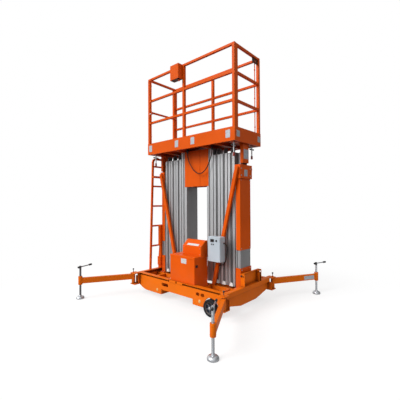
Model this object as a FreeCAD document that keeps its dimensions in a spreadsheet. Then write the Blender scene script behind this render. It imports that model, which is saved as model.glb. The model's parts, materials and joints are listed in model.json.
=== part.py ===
import FreeCAD, Part
import Sketcher
import math
import os
import re

# Vertical mast lift: a guarded platform on two banks of nested aluminium mast sections,
# standing on a narrow steel base with four swing-out outriggers, fixed wheels and castors.
# X runs along the platform, Y across it, Z up. The origin is on the floor under the base.

# Columns: size name, millimetres (or degrees), what it is
size_rows = (
    ("base_length", 1620, "base frame, end to end"),
    ("base_width", 964, "base frame, side to side"),
    ("rim_top", 300, "top of the base rim above the floor"),
    ("rim_height", 55, "height of the rim channel"),
    ("rim_flange", 60, "width of the rim's top flange"),
    ("rim_lip", 30, "width of the end rim's bottom flange"),
    ("rim_recess", 30, "how far the side rim's web stands back from its edge"),
    ("rim_band", 28, "open band between the side rim's top and the skirt"),
    ("rim_wall", 6, "rim plate thickness"),
    ("rim_cap", 60, "plate that closes the band at the corners"),
    ("boss_length", 270, "block in the band that holds the notches"),
    ("boss_centre", -15, "middle of that block"),
    ("notch_width", 20, "lifting strap notches in the rim"),
    ("notch_depth", 14, "how far a notch reaches in"),
    ("notch_spread", 71, "notch to the middle of the pair"),
    ("notch_centre", -61, "middle of the notch pair along the rim"),
    ("beam_width", 40, "inner beams of the base"),
    ("beam_height", 50, "inner beams of the base"),
    ("plate_gap", 0.3, "bolted plates beside their neighbours"),
    ("cut_past", 1, "how far a cutting tool runs past a face"),
    ("tunnel_half", 290, "fork tunnel, centre to wall"),
    ("tunnel_wall", 8, "thickness of the tunnel walls"),
    ("tunnel_roof", 140, "underside of the fork strips"),
    ("fork_strip", 60, "width of a fork strip"),
    ("strip_wall", 6, "thickness of a fork strip"),
    ("skirt_inset", 8, "skirt plates behind the rim face"),
    ("skirt_wall", 6, "thickness of the skirt plates"),
    ("skirt_bottom", 75, "lowest edge of the side skirts"),
    ("skirt_rise", 210, "rising part of the side skirt, from the end of the base"),
    ("skirt_lift", 22, "lower edge of the side skirt behind its wheel arch"),
    ("bow_along", 0.55, "share of the rising part where its bow is passed"),
    ("bow_up", 0.31, "share of the rise reached there"),
    ("end_inset", 24, "end skirts behind the end of the base"),
    ("skirt_tip", 155, "skirt bottom at the corners"),
    ("end_flat", 170, "half width of the end skirt's flat bottom"),
    ("end_bottom", 90, "lowest edge of the end skirts"),
    ("slot_height", 40, "hand slots in the side skirts"),
    ("slot_drop", 85, "middle of the slots below the rim"),
    ("slot_long", 130, "long slot"),
    ("slot_long_at", -216, "middle of the long slot"),
    ("slot_short", 56, "short slots of the pair"),
    ("slot_short_in", 209, "first short slot before the fixed wheel"),
    ("slot_pitch", 75, "pitch of the short slots"),
    ("mast_middle", 37.5, "mast centre plane across the base"),
    ("mast_depth", 225, "mast sections, front to back"),
    ("mast_inset", 90, "fixed sections in from the ends of the base"),
    ("mast_pitch", 115.5, "section to section"),
    ("section_width", 104, "one moving section along the bank"),
    ("fixed_width", 68, "fixed section along the bank"),
    ("section_wall", 6, "wall of the extrusions"),
    ("groove_width", 34, "chain groove down each face"),
    ("groove_depth", 14, "depth of the chain groove"),
    ("flute_width", 6, "flute beside the chain groove"),
    ("flute_depth", 3, "flute beside the chain groove"),
    ("slot_mouth", 44, "mouth of a guide slot"),
    ("slot_chamber", 76, "chamber behind the mouth"),
    ("lip_wall", 8, "lips beside the mouth"),
    ("chamber_depth", 22, "chamber behind the lips"),
    ("guide_gap", 0.4, "clearance of a guide tongue"),
    ("section_lift", 10, "moving sections above the foot plates"),
    ("section_drop", 95, "moving sections below the platform"),
    ("fixed_drop", 260, "fixed sections below the platform"),
    ("pulley_radius", 37, "chain pulley"),
    ("pulley_width", 20, "chain pulley"),
    ("pulley_rise", 40, "pulley axle above the section"),
    ("cheek_wall", 5, "pulley cheek plates"),
    ("cheek_gap", 1, "pulley to cheek"),
    ("cheek_depth", 34, "cheek plates, front to back"),
    ("cheek_rise", 12, "cheek plates above the pulley axle"),
    ("pulley_axle", 8, "pulley axle radius"),
    ("chain_width", 16, "leaf chain, across"),
    ("chain_depth", 10, "leaf chain, through"),
    ("anchor_rise", 35, "lower anchor of the chain above the section's foot"),
    ("cover_wall", 4, "end cover plate"),
    ("cover_height", 885, "end covers"),
    ("cover_gap", 8, "end covers beyond the fixed section's inner face"),
    ("bracket_wall", 20, "top bracket wall"),
    ("bracket_rise", 5, "top bracket above the fixed section"),
    ("bracket_height", 170, "top bracket"),
    ("wrap_gap", 3, "brackets beyond the fixed section's inner face"),
    ("foot_wall", 8, "mast foot bracket wall"),
    ("mast_foot", 245, "height of the mast foot bracket"),
    ("foot_plate", 10, "plate under the fixed sections"),
    ("foot_plate_length", 90, "plate under the fixed sections, along the bank"),
    ("foot_plate_past", 4, "plate under the fixed sections, beyond the foot bracket"),
    ("beam_gap", 5, "long beams beyond the braces"),
    ("brace_width", 46, "braces, seen from the front"),
    ("brace_depth", 35, "braces, front to back"),
    ("brace_foot_out", 140, "brace foot beyond the innermost section"),
    ("brace_head_in", 20, "brace head in from the fixed section's outer face"),
    ("brace_drop", 30, "top of the braces below the top bracket"),
    ("ladder_depth", 25, "ladder stiles, along the base"),
    ("ladder_stile", 30, "ladder stiles, across"),
    ("ladder_inset", 22.5, "ladder plane in from the end of the base"),
    ("ladder_foot", 260, "stile centre from the middle, at the foot"),
    ("ladder_head", 205, "stile centre from the middle, at the head"),
    ("ladder_drop", 35, "top of the ladder arch below the platform"),
    ("arch_radius", 75, "outer radius of the ladder arch"),
    ("rung_radius", 13, "ladder rungs"),
    ("rung_first", 650, "lowest rung"),
    ("rung_drop", 133, "highest rung below the top of the arch"),
    ("rung_count", 5, "ladder rungs"),
    ("stay_height", 30, "ladder stay"),
    ("stay_drop", 75, "middle of the ladder stay below the top bracket"),
    ("stay_past", 20, "ladder stay beyond the stiles' middles"),
    ("support_at", -67.5, "middle of the ladder support across the base"),
    ("support_width", 95, "ladder support"),
    ("support_rise", 5, "ladder support above the lowest rung"),
    ("support_height", 310, "ladder support"),
    ("support_wall", 4, "ladder support"),
    ("support_back", 8, "plate of the ladder support against the mast"),
    ("throat_width", 60, "throat between the ladder support and its box"),
    ("throat_past", 6, "foot of the throat beyond the ladder plane"),
    ("valve_at", -58, "middle of the box under the ladder support"),
    ("valve_width", 108, "box under the ladder support"),
    ("valve_height", 130, "box under the ladder support"),
    ("valve_lift", 45, "height of that box's foot"),
    ("valve_foot_width", 84, "foot of that box"),
    ("valve_past", 10, "box beyond the ladder plane"),
    ("power_length", 435, "power unit, along the base"),
    ("power_past", 112, "power unit's right side beyond the inner section's face"),
    ("power_inset", 32, "power unit in from the side of the base"),
    ("power_gap", 130, "power unit in front of the masts"),
    ("power_height", 333, "power unit above the rim"),
    ("power_round", 6, "power unit edges"),
    ("console_inset", 113, "console in from the power unit's left side"),
    ("console_depth", 123, "console, front to back"),
    ("console_ledge", 30, "flat top at the back of the console"),
    ("console_low", 112, "console's front edge above the power unit"),
    ("console_high", 189, "console's back edge above the power unit"),
    ("panel_box_shift", 6.5, "control box to the right of its brace"),
    ("panel_box_width", 196, "control box"),
    ("panel_box_depth", 100, "control box"),
    ("panel_box_height", 310, "control box"),
    ("panel_box_bottom", 575, "control box"),
    ("panel_box_gap", 35, "control box in front of its brace"),
    ("panel_arm_width", 50, "arm between the control box and its brace"),
    ("panel_arm_height", 120, "arm between the control box and its brace"),
    ("panel_arm_low", 90, "arm above the bottom of the control box"),
    ("panel_arm_sink", 20, "arm inside the control box"),
    ("panel_box_round", 8, "control box edges"),
    ("hinge_out", 10, "outrigger hinge beyond the end of the base"),
    ("hinge_side", 63, "outrigger hinge beyond the side of the base"),
    ("ear_width", 100, "hinge bracket along the base"),
    ("ear_reach", 30, "ear beyond the hinge"),
    ("ear_wall", 12, "ear thickness"),
    ("ear_span", 165, "hinge bracket, top to bottom"),
    ("hinge_radius", 10, "hinge pin"),
    ("pin_below", 10, "hinge pin under the lower ear"),
    ("pin_above", 12, "hinge pin over the upper ear"),
    ("knuckle_radius", 25, "outrigger knuckle"),
    ("knuckle_gap", 0.5, "knuckle to ear"),
    ("pin_gap", 0.05, "running clearance at a pin"),
    ("knob_radius", 11, "ball knob of the hinge pin"),
    ("knob_rise", 49, "middle of the ball knob above the ear"),
    ("knob_stem", 4, "stem radius under the knob"),
    ("arm_splay", 60, "outrigger direction from the base's long axis, degrees"),
    ("arm_length", 714, "hinge to jack"),
    ("arm_width", 45, "outrigger tube"),
    ("arm_height", 75, "outrigger tube"),
    ("arm_drop", 93, "underside of the outrigger tube below the rim"),
    ("sleeve_radius", 27, "jack sleeve"),
    ("sleeve_below", 17, "jack sleeve under the outrigger tube"),
    ("sleeve_above", 23, "jack sleeve over the outrigger tube"),
    ("screw_radius", 14, "jack screw"),
    ("screw_gap", 0.3, "screw to sleeve"),
    ("screw_rise", 141, "top of the jack screw above its sleeve"),
    ("foot_radius", 52.5, "jack foot"),
    ("foot_rim", 10, "straight rim of the jack foot"),
    ("foot_neck", 20, "neck radius of the jack foot"),
    ("foot_bow", 42, "radius at which the bow of the jack foot is passed"),
    ("foot_bow_level", 26, "height of the bow there"),
    ("foot_height", 38, "jack foot"),
    ("tommy_radius", 7, "tommy bar"),
    ("tommy_drop", 16, "tommy bar below the top of the screw"),
    ("tommy_short", 42, "short end of the tommy bar"),
    ("tommy_long", 205, "long end of the tommy bar"),
    ("grip_radius", 13, "tommy bar grips"),
    ("grip_length", 26, "long tommy bar grip"),
    ("grip_short", 22, "short tommy bar grip"),
    ("wheel_radius", 100, "fixed wheel"),
    ("wheel_width", 46, "fixed wheel"),
    ("wheel_inset", 225, "fixed wheel in from the end of the base"),
    ("wheel_out", 23, "outer face of the fixed wheel beyond the side of the base"),
    ("wheel_room", 10, "wheel arch round the wheel"),
    ("wheel_clear", 6, "wheel to the inner end of its arch"),
    ("wheel_dish", 6, "hub face of the fixed wheel behind its tyre"),
    ("boss_share", 0.32, "hub boss, as a share of the wheel's radius"),
    ("web_start", 0.38, "inner edge of the hub face"),
    ("web_end", 0.70, "outer edge of the hub face"),
    ("tyre_start", 0.76, "inner edge of the tyre"),
    ("tread_share", 0.94, "edge of the tread"),
    ("axle_radius", 10, "fixed axle"),
    ("axle_tail", 36, "stub axle behind its plate"),
    ("axle_past", 3, "stub axle beyond the wheel"),
    ("shoulder_gap", 4, "axle shoulder to the wheel"),
    ("shoulder_wall", 8, "axle shoulder round the axle"),
    ("axle_plate", 8, "axle bracket plate"),
    ("axle_plate_in", 46, "axle bracket plate in from the wheel's middle"),
    ("axle_plate_below", 30, "axle bracket plate under the axle"),
    ("axle_plate_width", 90, "axle bracket plate"),
    ("castor_inset", 210, "castor king pin in from the end of the base"),
    ("castor_side", 182, "castor king pin in from the side of the base"),
    ("castor_trail", 35, "castor wheel behind its king pin"),
    ("castor_radius", 75, "castor wheel"),
    ("castor_width", 40, "castor wheel"),
    ("castor_plate", 90, "castor top plate"),
    ("castor_wall", 8, "castor top plate"),
    ("castor_gap", 0.5, "castor top plate to its crown"),
    ("castor_dish", 5, "hub face of the castor wheel behind its tyre"),
    ("crown_radius", 35, "castor crown"),
    ("crown_height", 12, "castor crown"),
    ("fork_wall", 5, "castor fork leg"),
    ("fork_lap", 4, "castor fork leg up the side of the crown"),
    ("fork_short", 6, "castor fork leg short of the crown's front edge"),
    ("fork_long", 10, "castor fork leg past the crown's back edge"),
    ("fork_toe", 18, "half width of the castor fork leg at its axle"),
    ("fork_side", 12, "corners of the fork leg below the axle"),
    ("fork_tip", 20, "tip of the fork leg below the axle"),
    ("fork_gap", 5, "castor wheel to fork leg"),
    ("castor_pin", 8, "castor king pin and axle radius"),
    ("castor_pin_past", 4, "king pin below the crown"),
    ("castor_axle_past", 3, "castor axle beyond its fork"),
    ("tow_near", -120, "tow bracket, near cheek"),
    ("tow_far", 265, "tow bracket, far cheek"),
    ("tow_height", 150, "tow bracket"),
    ("tow_depth", 55, "tow bracket"),
    ("tow_wall", 6, "tow bracket"),
    ("tow_hole", 10, "tow pin hole radius"),
    ("tow_hole_in", 16, "tow pin hole from the end face"),
    ("tow_hole_drop", 30, "tow pin hole below the top edge"),
    ("tow_rib_in", 45, "second cheek in from the far cheek"),
    ("tow_lip", 22, "top flange of the tow bracket"),
    ("tow_knob", 9, "radius of the knob on the near cheek"),
    ("tow_knob_length", 24, "knob on the near cheek"),
    ("tow_knob_out", 20, "knob beyond the cheek's middle"),
    ("tow_knob_in", 14, "middle of the knob from the web's face"),
    ("tow_knob_drop", 22, "middle of the knob below the top edge"),
    ("deck_inset", 10, "platform's ends in from the ends of the base"),
    ("deck_width", 580, "platform, side to side"),
    ("deck_bottom", 2030, "underside of the platform"),
    ("deck_frame", 40, "height of the platform frame"),
    ("deck_tube", 30, "width of the platform frame tubes"),
    ("deck_plate", 4, "platform floor plate"),
    ("bearer_width", 40, "cross bearers under the floor"),
    ("bearer_margin", 80, "outermost bearer in from the platform's end"),
    ("toe_height", 165, "toe boards"),
    ("toe_wall", 3, "toe boards"),
    ("guard_height", 1106, "top of the guard rail above the floor"),
    ("upper_drop", 340, "upper middle rail below the top"),
    ("lower_drop", 673, "lower middle rail below the top"),
    ("post_size", 35, "guard rail posts"),
    ("panel_gap", 0.5, "guard panel to guard panel"),
    ("rail_size", 30, "guard rails"),
    ("front_post", -42, "middle post of the front guard"),
    ("back_post", 21, "middle post of the back guard"),
    ("drop_rod", 6, "radius of the locking rods"),
    ("drop_rod_in", 84, "locking rod in from the platform's end"),
    ("drop_rod_drop", 10, "locking rod below the top of the guard rail"),
    ("entry_drop", 512, "entry bar below the top of the guard rail"),
    ("entry_size", 24, "entry bar"),
    ("entry_gap", 8, "entry bar to the posts"),
    ("entry_pin", 6, "entry bar pin radius"),
    ("entry_pin_past", 3, "entry bar pin beyond the bar"),
    ("entry_cap", 4, "head of the entry bar pin"),
    ("entry_tail", 16, "entry bar past its pin"),
    ("catch_height", 14, "entry bar catch"),
    ("carriage_height", 500, "carriage panels"),
    ("carriage_wall", 4, "carriage panels"),
    ("carriage_fold", 60, "carriage panel folds"),
    ("carriage_lap", 30, "carriage panels over the sections"),
    ("cover_edge", 70, "edge of the carriage's front cover"),
    ("cover_drop", 25, "carriage's front cover below the platform"),
    ("tie_height", 60, "tie between the carriage panels"),
    ("leg_inset", 40, "end legs in from the platform's end"),
    ("leg_width", 42, "end legs, along the platform"),
    ("leg_depth", 126, "end legs, across"),
    ("buffer_height", 20, "end legs above the top bracket"),
    ("gusset_size", 30, "gusset at the top of the end legs"),
    ("gusset_bow", 9, "bow of that gusset"),
    ("buffer_gap", 0.5, "buffer above the top bracket"),
    ("buffer_width", 26, "buffer, along the platform"),
    ("buffer_depth", 100, "buffer, across"),
    ("clamp_side", 90, "hold-down screw in from the platform's side"),
    ("clamp_drop", 165, "lower end of the hold-down screws below the platform"),
    ("clamp_radius", 8, "hold-down screws"),
    ("clamp_bar", 90, "cross bar of the hold-down screws"),
    ("clamp_bar_radius", 7, "cross bar of the hold-down screws"),
    ("clamp_tip", 12, "tip radius of the hold-down screws"),
    ("clamp_tip_length", 40, "tip of the hold-down screws"),
    ("clamp_nut", 15, "nut radius of the hold-down screws"),
    ("clamp_nut_height", 18, "nut of the hold-down screws"),
    ("clamp_bar_drop", 40, "cross bar of the hold-down screws below the platform"),
    ("pendant_left", -212, "platform control, left side"),
    ("pendant_width", 160, "platform control"),
    ("pendant_depth", 80, "platform control"),
    ("pendant_height", 200, "platform control"),
    ("pendant_drop", 8, "platform control below the top of the guard rail"),
    ("pendant_gland", 12, "gland radius under the platform control"),
    ("pendant_gland_in", 30, "that gland in from the side of the platform control"),
    ("pendant_gland_drop", 24, "that gland below the platform control"),
    ("hanger_inset", 12, "hanger plate in from the side of the platform control"),
    ("hanger_width", 110, "hanger plate behind the platform control"),
    ("eye_radius", 12, "hole for a lanyard hook"),
    ("eye_wall", 8, "lanyard plate"),
    ("eye_length", 120, "lanyard plate"),
    ("eye_height", 62, "lanyard plate"),
    ("eye_in", 100, "lanyard plate in from the platform's side"),
    ("eye_drop", 4, "lanyard hole below the middle of its plate"),
    ("cable_radius", 6, "hanging cable"),
    ("gland_radius", 13, "cable glands"),
    ("gland_length", 30, "cable glands below the platform"),
    ("lead_radius", 5, "lead of the control box"),
    ("entry_head", 10, "head of the entry bar pin, radius"),
)

rim_bottom = "(rim_top - rim_height)"
beam_top = rim_bottom
beam_bottom = "(rim_top - rim_height - beam_height)"
mast_floor = "(%s + foot_plate)" % beam_top
skirt_top = "(rim_top - rim_band)"
skirt_y = "(base_width / 2 - skirt_inset - skirt_wall / 2)"
skirt_in_y = "(base_width / 2 - skirt_inset - skirt_wall)"
skirt_end_x = "(base_length / 2 - skirt_inset - skirt_wall - plate_gap)"
end_skirt_x = "(base_length / 2 - end_inset - skirt_wall / 2)"
end_skirt_in = "(base_length / 2 - end_inset - skirt_wall)"
mast_front = "(mast_middle - mast_depth / 2)"
mast_back = "(mast_middle + mast_depth / 2)"
fixed_outer = "(base_length / 2 - mast_inset)"
fixed_inner = "(%s - fixed_width)" % fixed_outer
cover_outer = "(%s + cover_wall)" % fixed_outer
brace_front_y = "(%s - bracket_wall - brace_depth / 2)" % mast_front
brace_back_y = "(%s + bracket_wall + brace_depth / 2)" % mast_back
beam_offset = "(mast_depth / 2 + bracket_wall + brace_depth - beam_width / 2 + beam_gap)"
floor_top = "(deck_bottom + deck_frame + deck_plate)"
toe_in_x = "(deck_length / 2 - toe_wall)"
toe_in_y = "(deck_width / 2 - toe_wall)"
post_x = "(deck_length / 2 - toe_wall - post_size / 2)"
post_y = "(deck_width / 2 - toe_wall - post_size / 2)"
bearer_at = "(mast_inner + section_width / 2 + %d * bearer_pitch)"
rail_levels = (("top", "guard_top - rail_size / 2"), ("upper", "guard_upper"),
               ("lower", "guard_lower"))

# Columns: name, formula, what it is; these follow from the sizes above
tied_rows = (
    ("skirt_flat", "base_length / 2 - skirt_rise", "where the side skirt starts to rise"),
    ("slot_level", "rim_top - slot_drop", "middle of the hand slots"),
    ("mast_inner", fixed_inner + " - 4 * mast_pitch", "inner face of the inner sections"),
    ("section_bottom", mast_floor + " + section_lift", "lower end of the moving sections"),
    ("section_top", "deck_bottom - section_drop", "upper end of the moving sections"),
    ("fixed_top", "deck_bottom - fixed_drop", "upper end of the fixed sections"),
    ("chain_bottom", "section_bottom + anchor_rise", "lower anchor of the chain"),
    ("bracket_top", "fixed_top + bracket_rise", "top of the top bracket"),
    ("cover_top", "bracket_top - bracket_height", "upper edge of the end covers"),
    ("cover_bottom", "cover_top - cover_height", "lower edge of the end covers"),
    ("foot_top", mast_floor + " + mast_foot", "top of the mast foot bracket"),
    ("brace_foot", "mast_inner + brace_foot_out", "brace foot from the middle"),
    ("brace_head", fixed_outer + " - brace_head_in", "brace head from the middle"),
    ("brace_top", "bracket_top - brace_drop", "top of the braces"),
    ("ladder_at", "base_length / 2 - ladder_inset", "ladder plane from the middle"),
    ("ladder_top", "deck_bottom - ladder_drop", "top of the ladder arch"),
    ("rung_pitch", "(ladder_top - rung_drop - rung_first) / (rung_count - 1)", "rung to rung"),
    ("stay_level", "bracket_top - stay_drop", "middle of the ladder stay"),
    ("power_right", "mast_inner + power_past", "power unit, right side"),
    ("power_left", "power_right - power_length", "power unit, left side"),
    ("power_front", "-(base_width / 2 - power_inset)", "power unit, front face"),
    ("power_back", mast_front + " - power_gap", "power unit, back face"),
    ("power_top", "rim_top + power_height", "power unit, top face"),
    ("console_left", "power_left + console_inset", "console, left side"),
    ("console_front", "power_back - console_depth", "console, front face"),
    ("panel_box_back", mast_front + " - bracket_wall - brace_depth - panel_box_gap",
     "control box, back face"),
    ("hinge_x", "base_length / 2 + hinge_out", "outrigger hinge from the middle"),
    ("hinge_y", "base_width / 2 + hinge_side", "outrigger hinge from the middle"),
    ("ear_bottom", "rim_top - ear_span", "underside of the lower ear"),
    ("knob_level", "rim_top + knob_rise", "middle of the ball knob"),
    ("arm_bottom", "rim_top - arm_drop", "underside of the outrigger tube"),
    ("sleeve_bottom", "arm_bottom - sleeve_below", "lower end of the jack sleeve"),
    ("sleeve_top", "arm_bottom + arm_height + sleeve_above", "upper end of the jack sleeve"),
    ("screw_top", "sleeve_top + screw_rise", "top of the jack screw"),
    ("tommy_level", "screw_top - tommy_drop", "tommy bar above the floor"),
    ("wheel_x", "base_length / 2 - wheel_inset", "fixed wheel from the middle"),
    ("slot_short_at", "wheel_x - slot_short_in", "first short slot"),
    ("wheel_y", "base_width / 2 + wheel_out - wheel_width / 2", "fixed wheel across the base"),
    ("wheel_arch", "wheel_radius + wheel_room", "wheel arch radius"),
    ("axle_plate_at", "wheel_y - axle_plate_in", "axle bracket plate from the middle"),
    ("axle_inner", "axle_plate_at - axle_tail", "inner end of the stub axle"),
    ("castor_x", "-(base_length / 2 - castor_inset)", "castor king pin"),
    ("castor_y", "base_width / 2 - castor_side", "castor king pin from the middle"),
    ("deck_length", "base_length - 2 * deck_inset", "platform, end to end"),
    ("bearer_pitch", "(deck_length / 2 - bearer_margin - mast_inner - section_width / 2) / 2",
     "bearer to bearer, out from the inner sections"),
    ("guard_top", floor_top + " + guard_height", "top of the guard rail"),
    ("guard_upper", "guard_top - upper_drop", "upper middle rail"),
    ("guard_lower", "guard_top - lower_drop", "lower middle rail"),
    ("drop_rod_at", "deck_length / 2 - drop_rod_in", "locking rod from the middle"),
    ("entry_level", "guard_top - entry_drop", "entry bar"),
    ("carriage_bottom", "deck_bottom - carriage_height", "lower edge of the carriage panels"),
    ("leg_outer", "deck_length / 2 - leg_inset", "outer face of the end legs"),
    ("leg_bottom", "bracket_top + buffer_height", "lower end of the end legs"),
    ("clamp_y", "deck_width / 2 - clamp_side", "hold-down screw from the middle"),
    ("clamp_bottom", "deck_bottom - clamp_drop", "lower end of the hold-down screws"),
    ("clamp_level", "deck_bottom - clamp_bar_drop", "cross bar of the hold-down screws"),
    ("pendant_top", "guard_top - pendant_drop", "top of the platform control"),
    ("eye_at", "deck_width / 2 - eye_in", "lanyard plate across the platform"),
    ("gland_bottom", "deck_bottom - gland_length", "lower end of the cable glands"),
)

document = FreeCAD.newDocument("MastLift")
sheet = document.addObject("Spreadsheet::Sheet", "Sizes")
for row, (alias, number, meaning) in enumerate(size_rows, 1):
    sheet.set("A%d" % row, meaning)
    sheet.set("B%d" % row, str(number))
    sheet.setAlias("B%d" % row, alias)
document.recompute()
size_names = {row[0] for row in size_rows}
tied = {row[0]: row[1] for row in tied_rows}
sub_parts = []

turns = {
    "XY": FreeCAD.Rotation(),
    "XZ": FreeCAD.Rotation(FreeCAD.Vector(1, 0, 0), 90),
    "YZ": FreeCAD.Rotation(FreeCAD.Vector(1, 1, 1), 120),
}


def bound(formula):
    # the same formula with tied names spelled out and every size name pointed at its cell
    def cell(match):
        word = match.group()
        if word in tied:
            return "(%s)" % bound(tied[word])
        return "Sizes." + word if word in size_names else word
    return re.sub(r"[a-z_][a-z_0-9]*", cell, str(formula))


def number(formula):
    found = sheet.evalExpression(bound(formula))
    return float(getattr(found, "Value", found))


def place(solid, at, turn=None, angle=None):
    if turn is not None:
        solid.Placement = FreeCAD.Placement(FreeCAD.Vector(), turn)
    if angle is not None:
        solid.Placement = FreeCAD.Placement(
            FreeCAD.Vector(), FreeCAD.Rotation(FreeCAD.Vector(0, 0, 1), 1))
        solid.setExpression("Placement.Rotation.Angle", bound(angle))
    for axis, formula in zip("xyz", at):
        solid.setExpression("Placement.Base." + axis, bound(formula))
    return solid


def box(name, low, high):
    # a box between two corners
    solid = document.addObject("Part::Box", name)
    for side, start, end in zip(("Length", "Width", "Height"), low, high):
        solid.setExpression(side, bound("(%s) - (%s)" % (end, start)))
    return place(solid, low)


def bar(name, middle, size):
    # a box about its middle
    solid = document.addObject("Part::Box", name)
    for side, formula in zip(("Length", "Width", "Height"), size):
        solid.setExpression(side, bound(formula))
    return place(solid, ["(%s) - (%s) / 2" % pair for pair in zip(middle, size)])


def rod(name, start, radius, length, along="Z"):
    solid = document.addObject("Part::Cylinder", name)
    solid.setExpression("Radius", bound(radius))
    solid.setExpression("Height", bound(length))
    spin = {
        "X": FreeCAD.Rotation(FreeCAD.Vector(0, 1, 0), 90),
        "Y": FreeCAD.Rotation(FreeCAD.Vector(1, 0, 0), -90),
        "Z": FreeCAD.Rotation(),
    }[along]
    return place(solid, start, spin)


def fused(name, pieces):
    solid = document.addObject("Part::MultiFuse", name)
    solid.Shapes = pieces
    solid.Refine = True
    return solid


def cut(name, base, tool):
    solid = document.addObject("Part::Cut", name)
    solid.Base = base
    solid.Tool = tool
    solid.Refine = True
    return solid


def sketch_on(body, name, loops):
    # loops of corners (x, y); a corner (x, y, "via") is passed on an arc between its neighbours
    plane = [item for item in body.Origin.OriginFeatures if item.Role == "XY_Plane"][0]
    sketch = body.newObject("Sketcher::SketchObject", name)
    sketch.AttachmentSupport = [(plane, "")]
    sketch.MapMode = "FlatFace"

    def pin(index, position, x, y):
        for kind, formula in (("DistanceX", x), ("DistanceY", y)):
            where = sketch.addConstraint(
                Sketcher.Constraint(kind, -1, 1, index, position, number(formula)))
            sketch.setExpression("Constraints[%d]" % where, bound(formula))

    for loop in loops:
        corners = [corner for corner in loop if len(corner) == 2]
        spots = [FreeCAD.Vector(number(x), number(y), 0) for x, y in corners]
        first = sketch.GeometryCount
        edges = []
        for index, corner in enumerate(loop):
            if len(corner) == 3:
                continue
            after = loop[(index + 1) % len(loop)]
            start, end = spots[len(edges)], spots[(len(edges) + 1) % len(spots)]
            if len(after) == 2:
                sketch.addGeometry(Part.LineSegment(start, end), False)
                edges.append((corner, None, 1, 2))
                continue
            middle = FreeCAD.Vector(number(after[0]), number(after[1]), 0)
            if (middle - start).cross(end - middle).z > 0:
                sketch.addGeometry(Part.Arc(start, middle, end), False)
                edges.append((corner, after, 1, 2))
            else:
                sketch.addGeometry(Part.Arc(end, middle, start), False)
                edges.append((corner, after, 2, 1))
        for index, (corner, via, start_point, end_point) in enumerate(edges):
            edge = first + index
            following = (index + 1) % len(edges)
            pin(edge, start_point, *corner)
            if via is not None:
                marker = sketch.addGeometry(
                    Part.Point(FreeCAD.Vector(number(via[0]), number(via[1]), 0)), True)
                pin(marker, 1, via[0], via[1])
                sketch.addConstraint(Sketcher.Constraint("PointOnObject", marker, 1, edge))
            sketch.addConstraint(Sketcher.Constraint(
                "Coincident", edge, end_point, first + following, edges[following][2]))
    return sketch


def plate(name, loops, thickness, plane="XY", at=(0, 0, 0)):
    # an outline padded evenly to both sides of its plane
    body = document.addObject("PartDesign::Body", name)
    sketch = sketch_on(body, name + "_outline", loops)
    pad = body.newObject("PartDesign::Pad", name + "_pad")
    pad.Profile = sketch
    pad.setExpression("Length", bound(thickness))
    pad.Midplane = True
    sketch.Visibility = False
    body.Tip = pad
    return place(body, at, turns[plane])


def turned(name, loops, plane, at=(0, 0, 0)):
    # a half section revolved about its upright axis
    body = document.addObject("PartDesign::Body", name)
    sketch = sketch_on(body, name + "_section", loops)
    spin = body.newObject("PartDesign::Revolution", name + "_turn")
    spin.Profile = sketch
    spin.ReferenceAxis = (sketch, ["V_Axis"])
    spin.Angle = 360
    body.Tip = spin
    return place(body, at, turns[plane])


def keep(solid, label):
    solid.Label = label
    sub_parts.append(solid)
    return solid


def rectangle(low, high):
    return [(low[0], low[1]), (high[0], low[1]), (high[0], high[1]), (low[0], high[1])]


def slot(middle, level, length, height):
    # a slot with round ends
    left = "(%s) - (%s) / 2 + (%s) / 2" % (middle, length, height)
    right = "(%s) + (%s) / 2 - (%s) / 2" % (middle, length, height)
    low = "(%s) - (%s) / 2" % (level, height)
    high = "(%s) + (%s) / 2" % (level, height)
    return [
        (left, low), (right, low),
        ("(%s) + (%s) / 2" % (right, height), level, "via"),
        (right, high), (left, high),
        ("(%s) - (%s) / 2" % (left, height), level, "via"),
    ]


def compound(name, pieces):
    # like solids that don't touch, kept as one sub-part
    group = document.addObject("Part::Compound", name)
    group.Links = pieces
    return group


sides = (("left", -1), ("right", 1))
ends = (("front", -1), ("back", 1))

def side_rim(label, sign):
    # a channel open outwards: top flange, web set back and lip behind the skirt, closed at the
    # corners, with a block in its middle that holds the strap notches
    edge = "base_width / 2"
    half = "base_length / 2"

    def strip(part, low_x, high_x, inner, outer, low, high):
        near, far = "%d * (%s)" % (sign, inner), "%d * (%s)" % (sign, outer)
        across = (near, far) if sign > 0 else (far, near)
        return box("%s_rim_%s" % (part, label), (low_x, across[0], low), (high_x, across[1], high))

    web = edge + " - rim_recess"
    pieces = [
        strip("top", "-" + half, half, edge + " - rim_flange", edge,
              "rim_top - rim_wall", "rim_top"),
        strip("web", "-" + half, half, web + " - rim_wall", web, rim_bottom, "rim_top"),
        strip("lip", "-" + half, half, web, skirt_in_y, rim_bottom, rim_bottom + " + rim_wall"),
        strip("boss", "boss_centre - boss_length / 2", "boss_centre + boss_length / 2", web, edge,
              skirt_top, "rim_top"),
    ]
    for side, step in sides:
        near, far = "%d * (%s - rim_wall)" % (step, half), "%d * %s" % (step, half)
        along = (near, far) if step > 0 else (far, near)
        pieces.append(strip("end_" + side, *along, edge + " - rim_flange", edge,
                            rim_bottom, "rim_top"))
        near = "%d * (%s - rim_cap)" % (step, half)
        along = (near, far) if step > 0 else (far, near)
        pieces.append(strip("cap_" + side, *along, edge + " - rim_wall", edge,
                            skirt_top, "rim_top"))
    notches = [
        bar("notch_%s_%d" % (label, index),
            ("notch_centre + %d * notch_spread" % step,
             "%d * (%s - notch_depth / 2 + cut_past / 2)" % (sign, edge),
             "rim_top - rim_band / 2"),
            ("notch_width", "notch_depth + cut_past", "rim_band + 2 * cut_past"))
        for index, step in ((1, -1), (2, 1))]
    return cut("notched_rim_" + label, fused("side_rim_" + label, pieces),
               fused("notches_" + label, notches))


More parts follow.
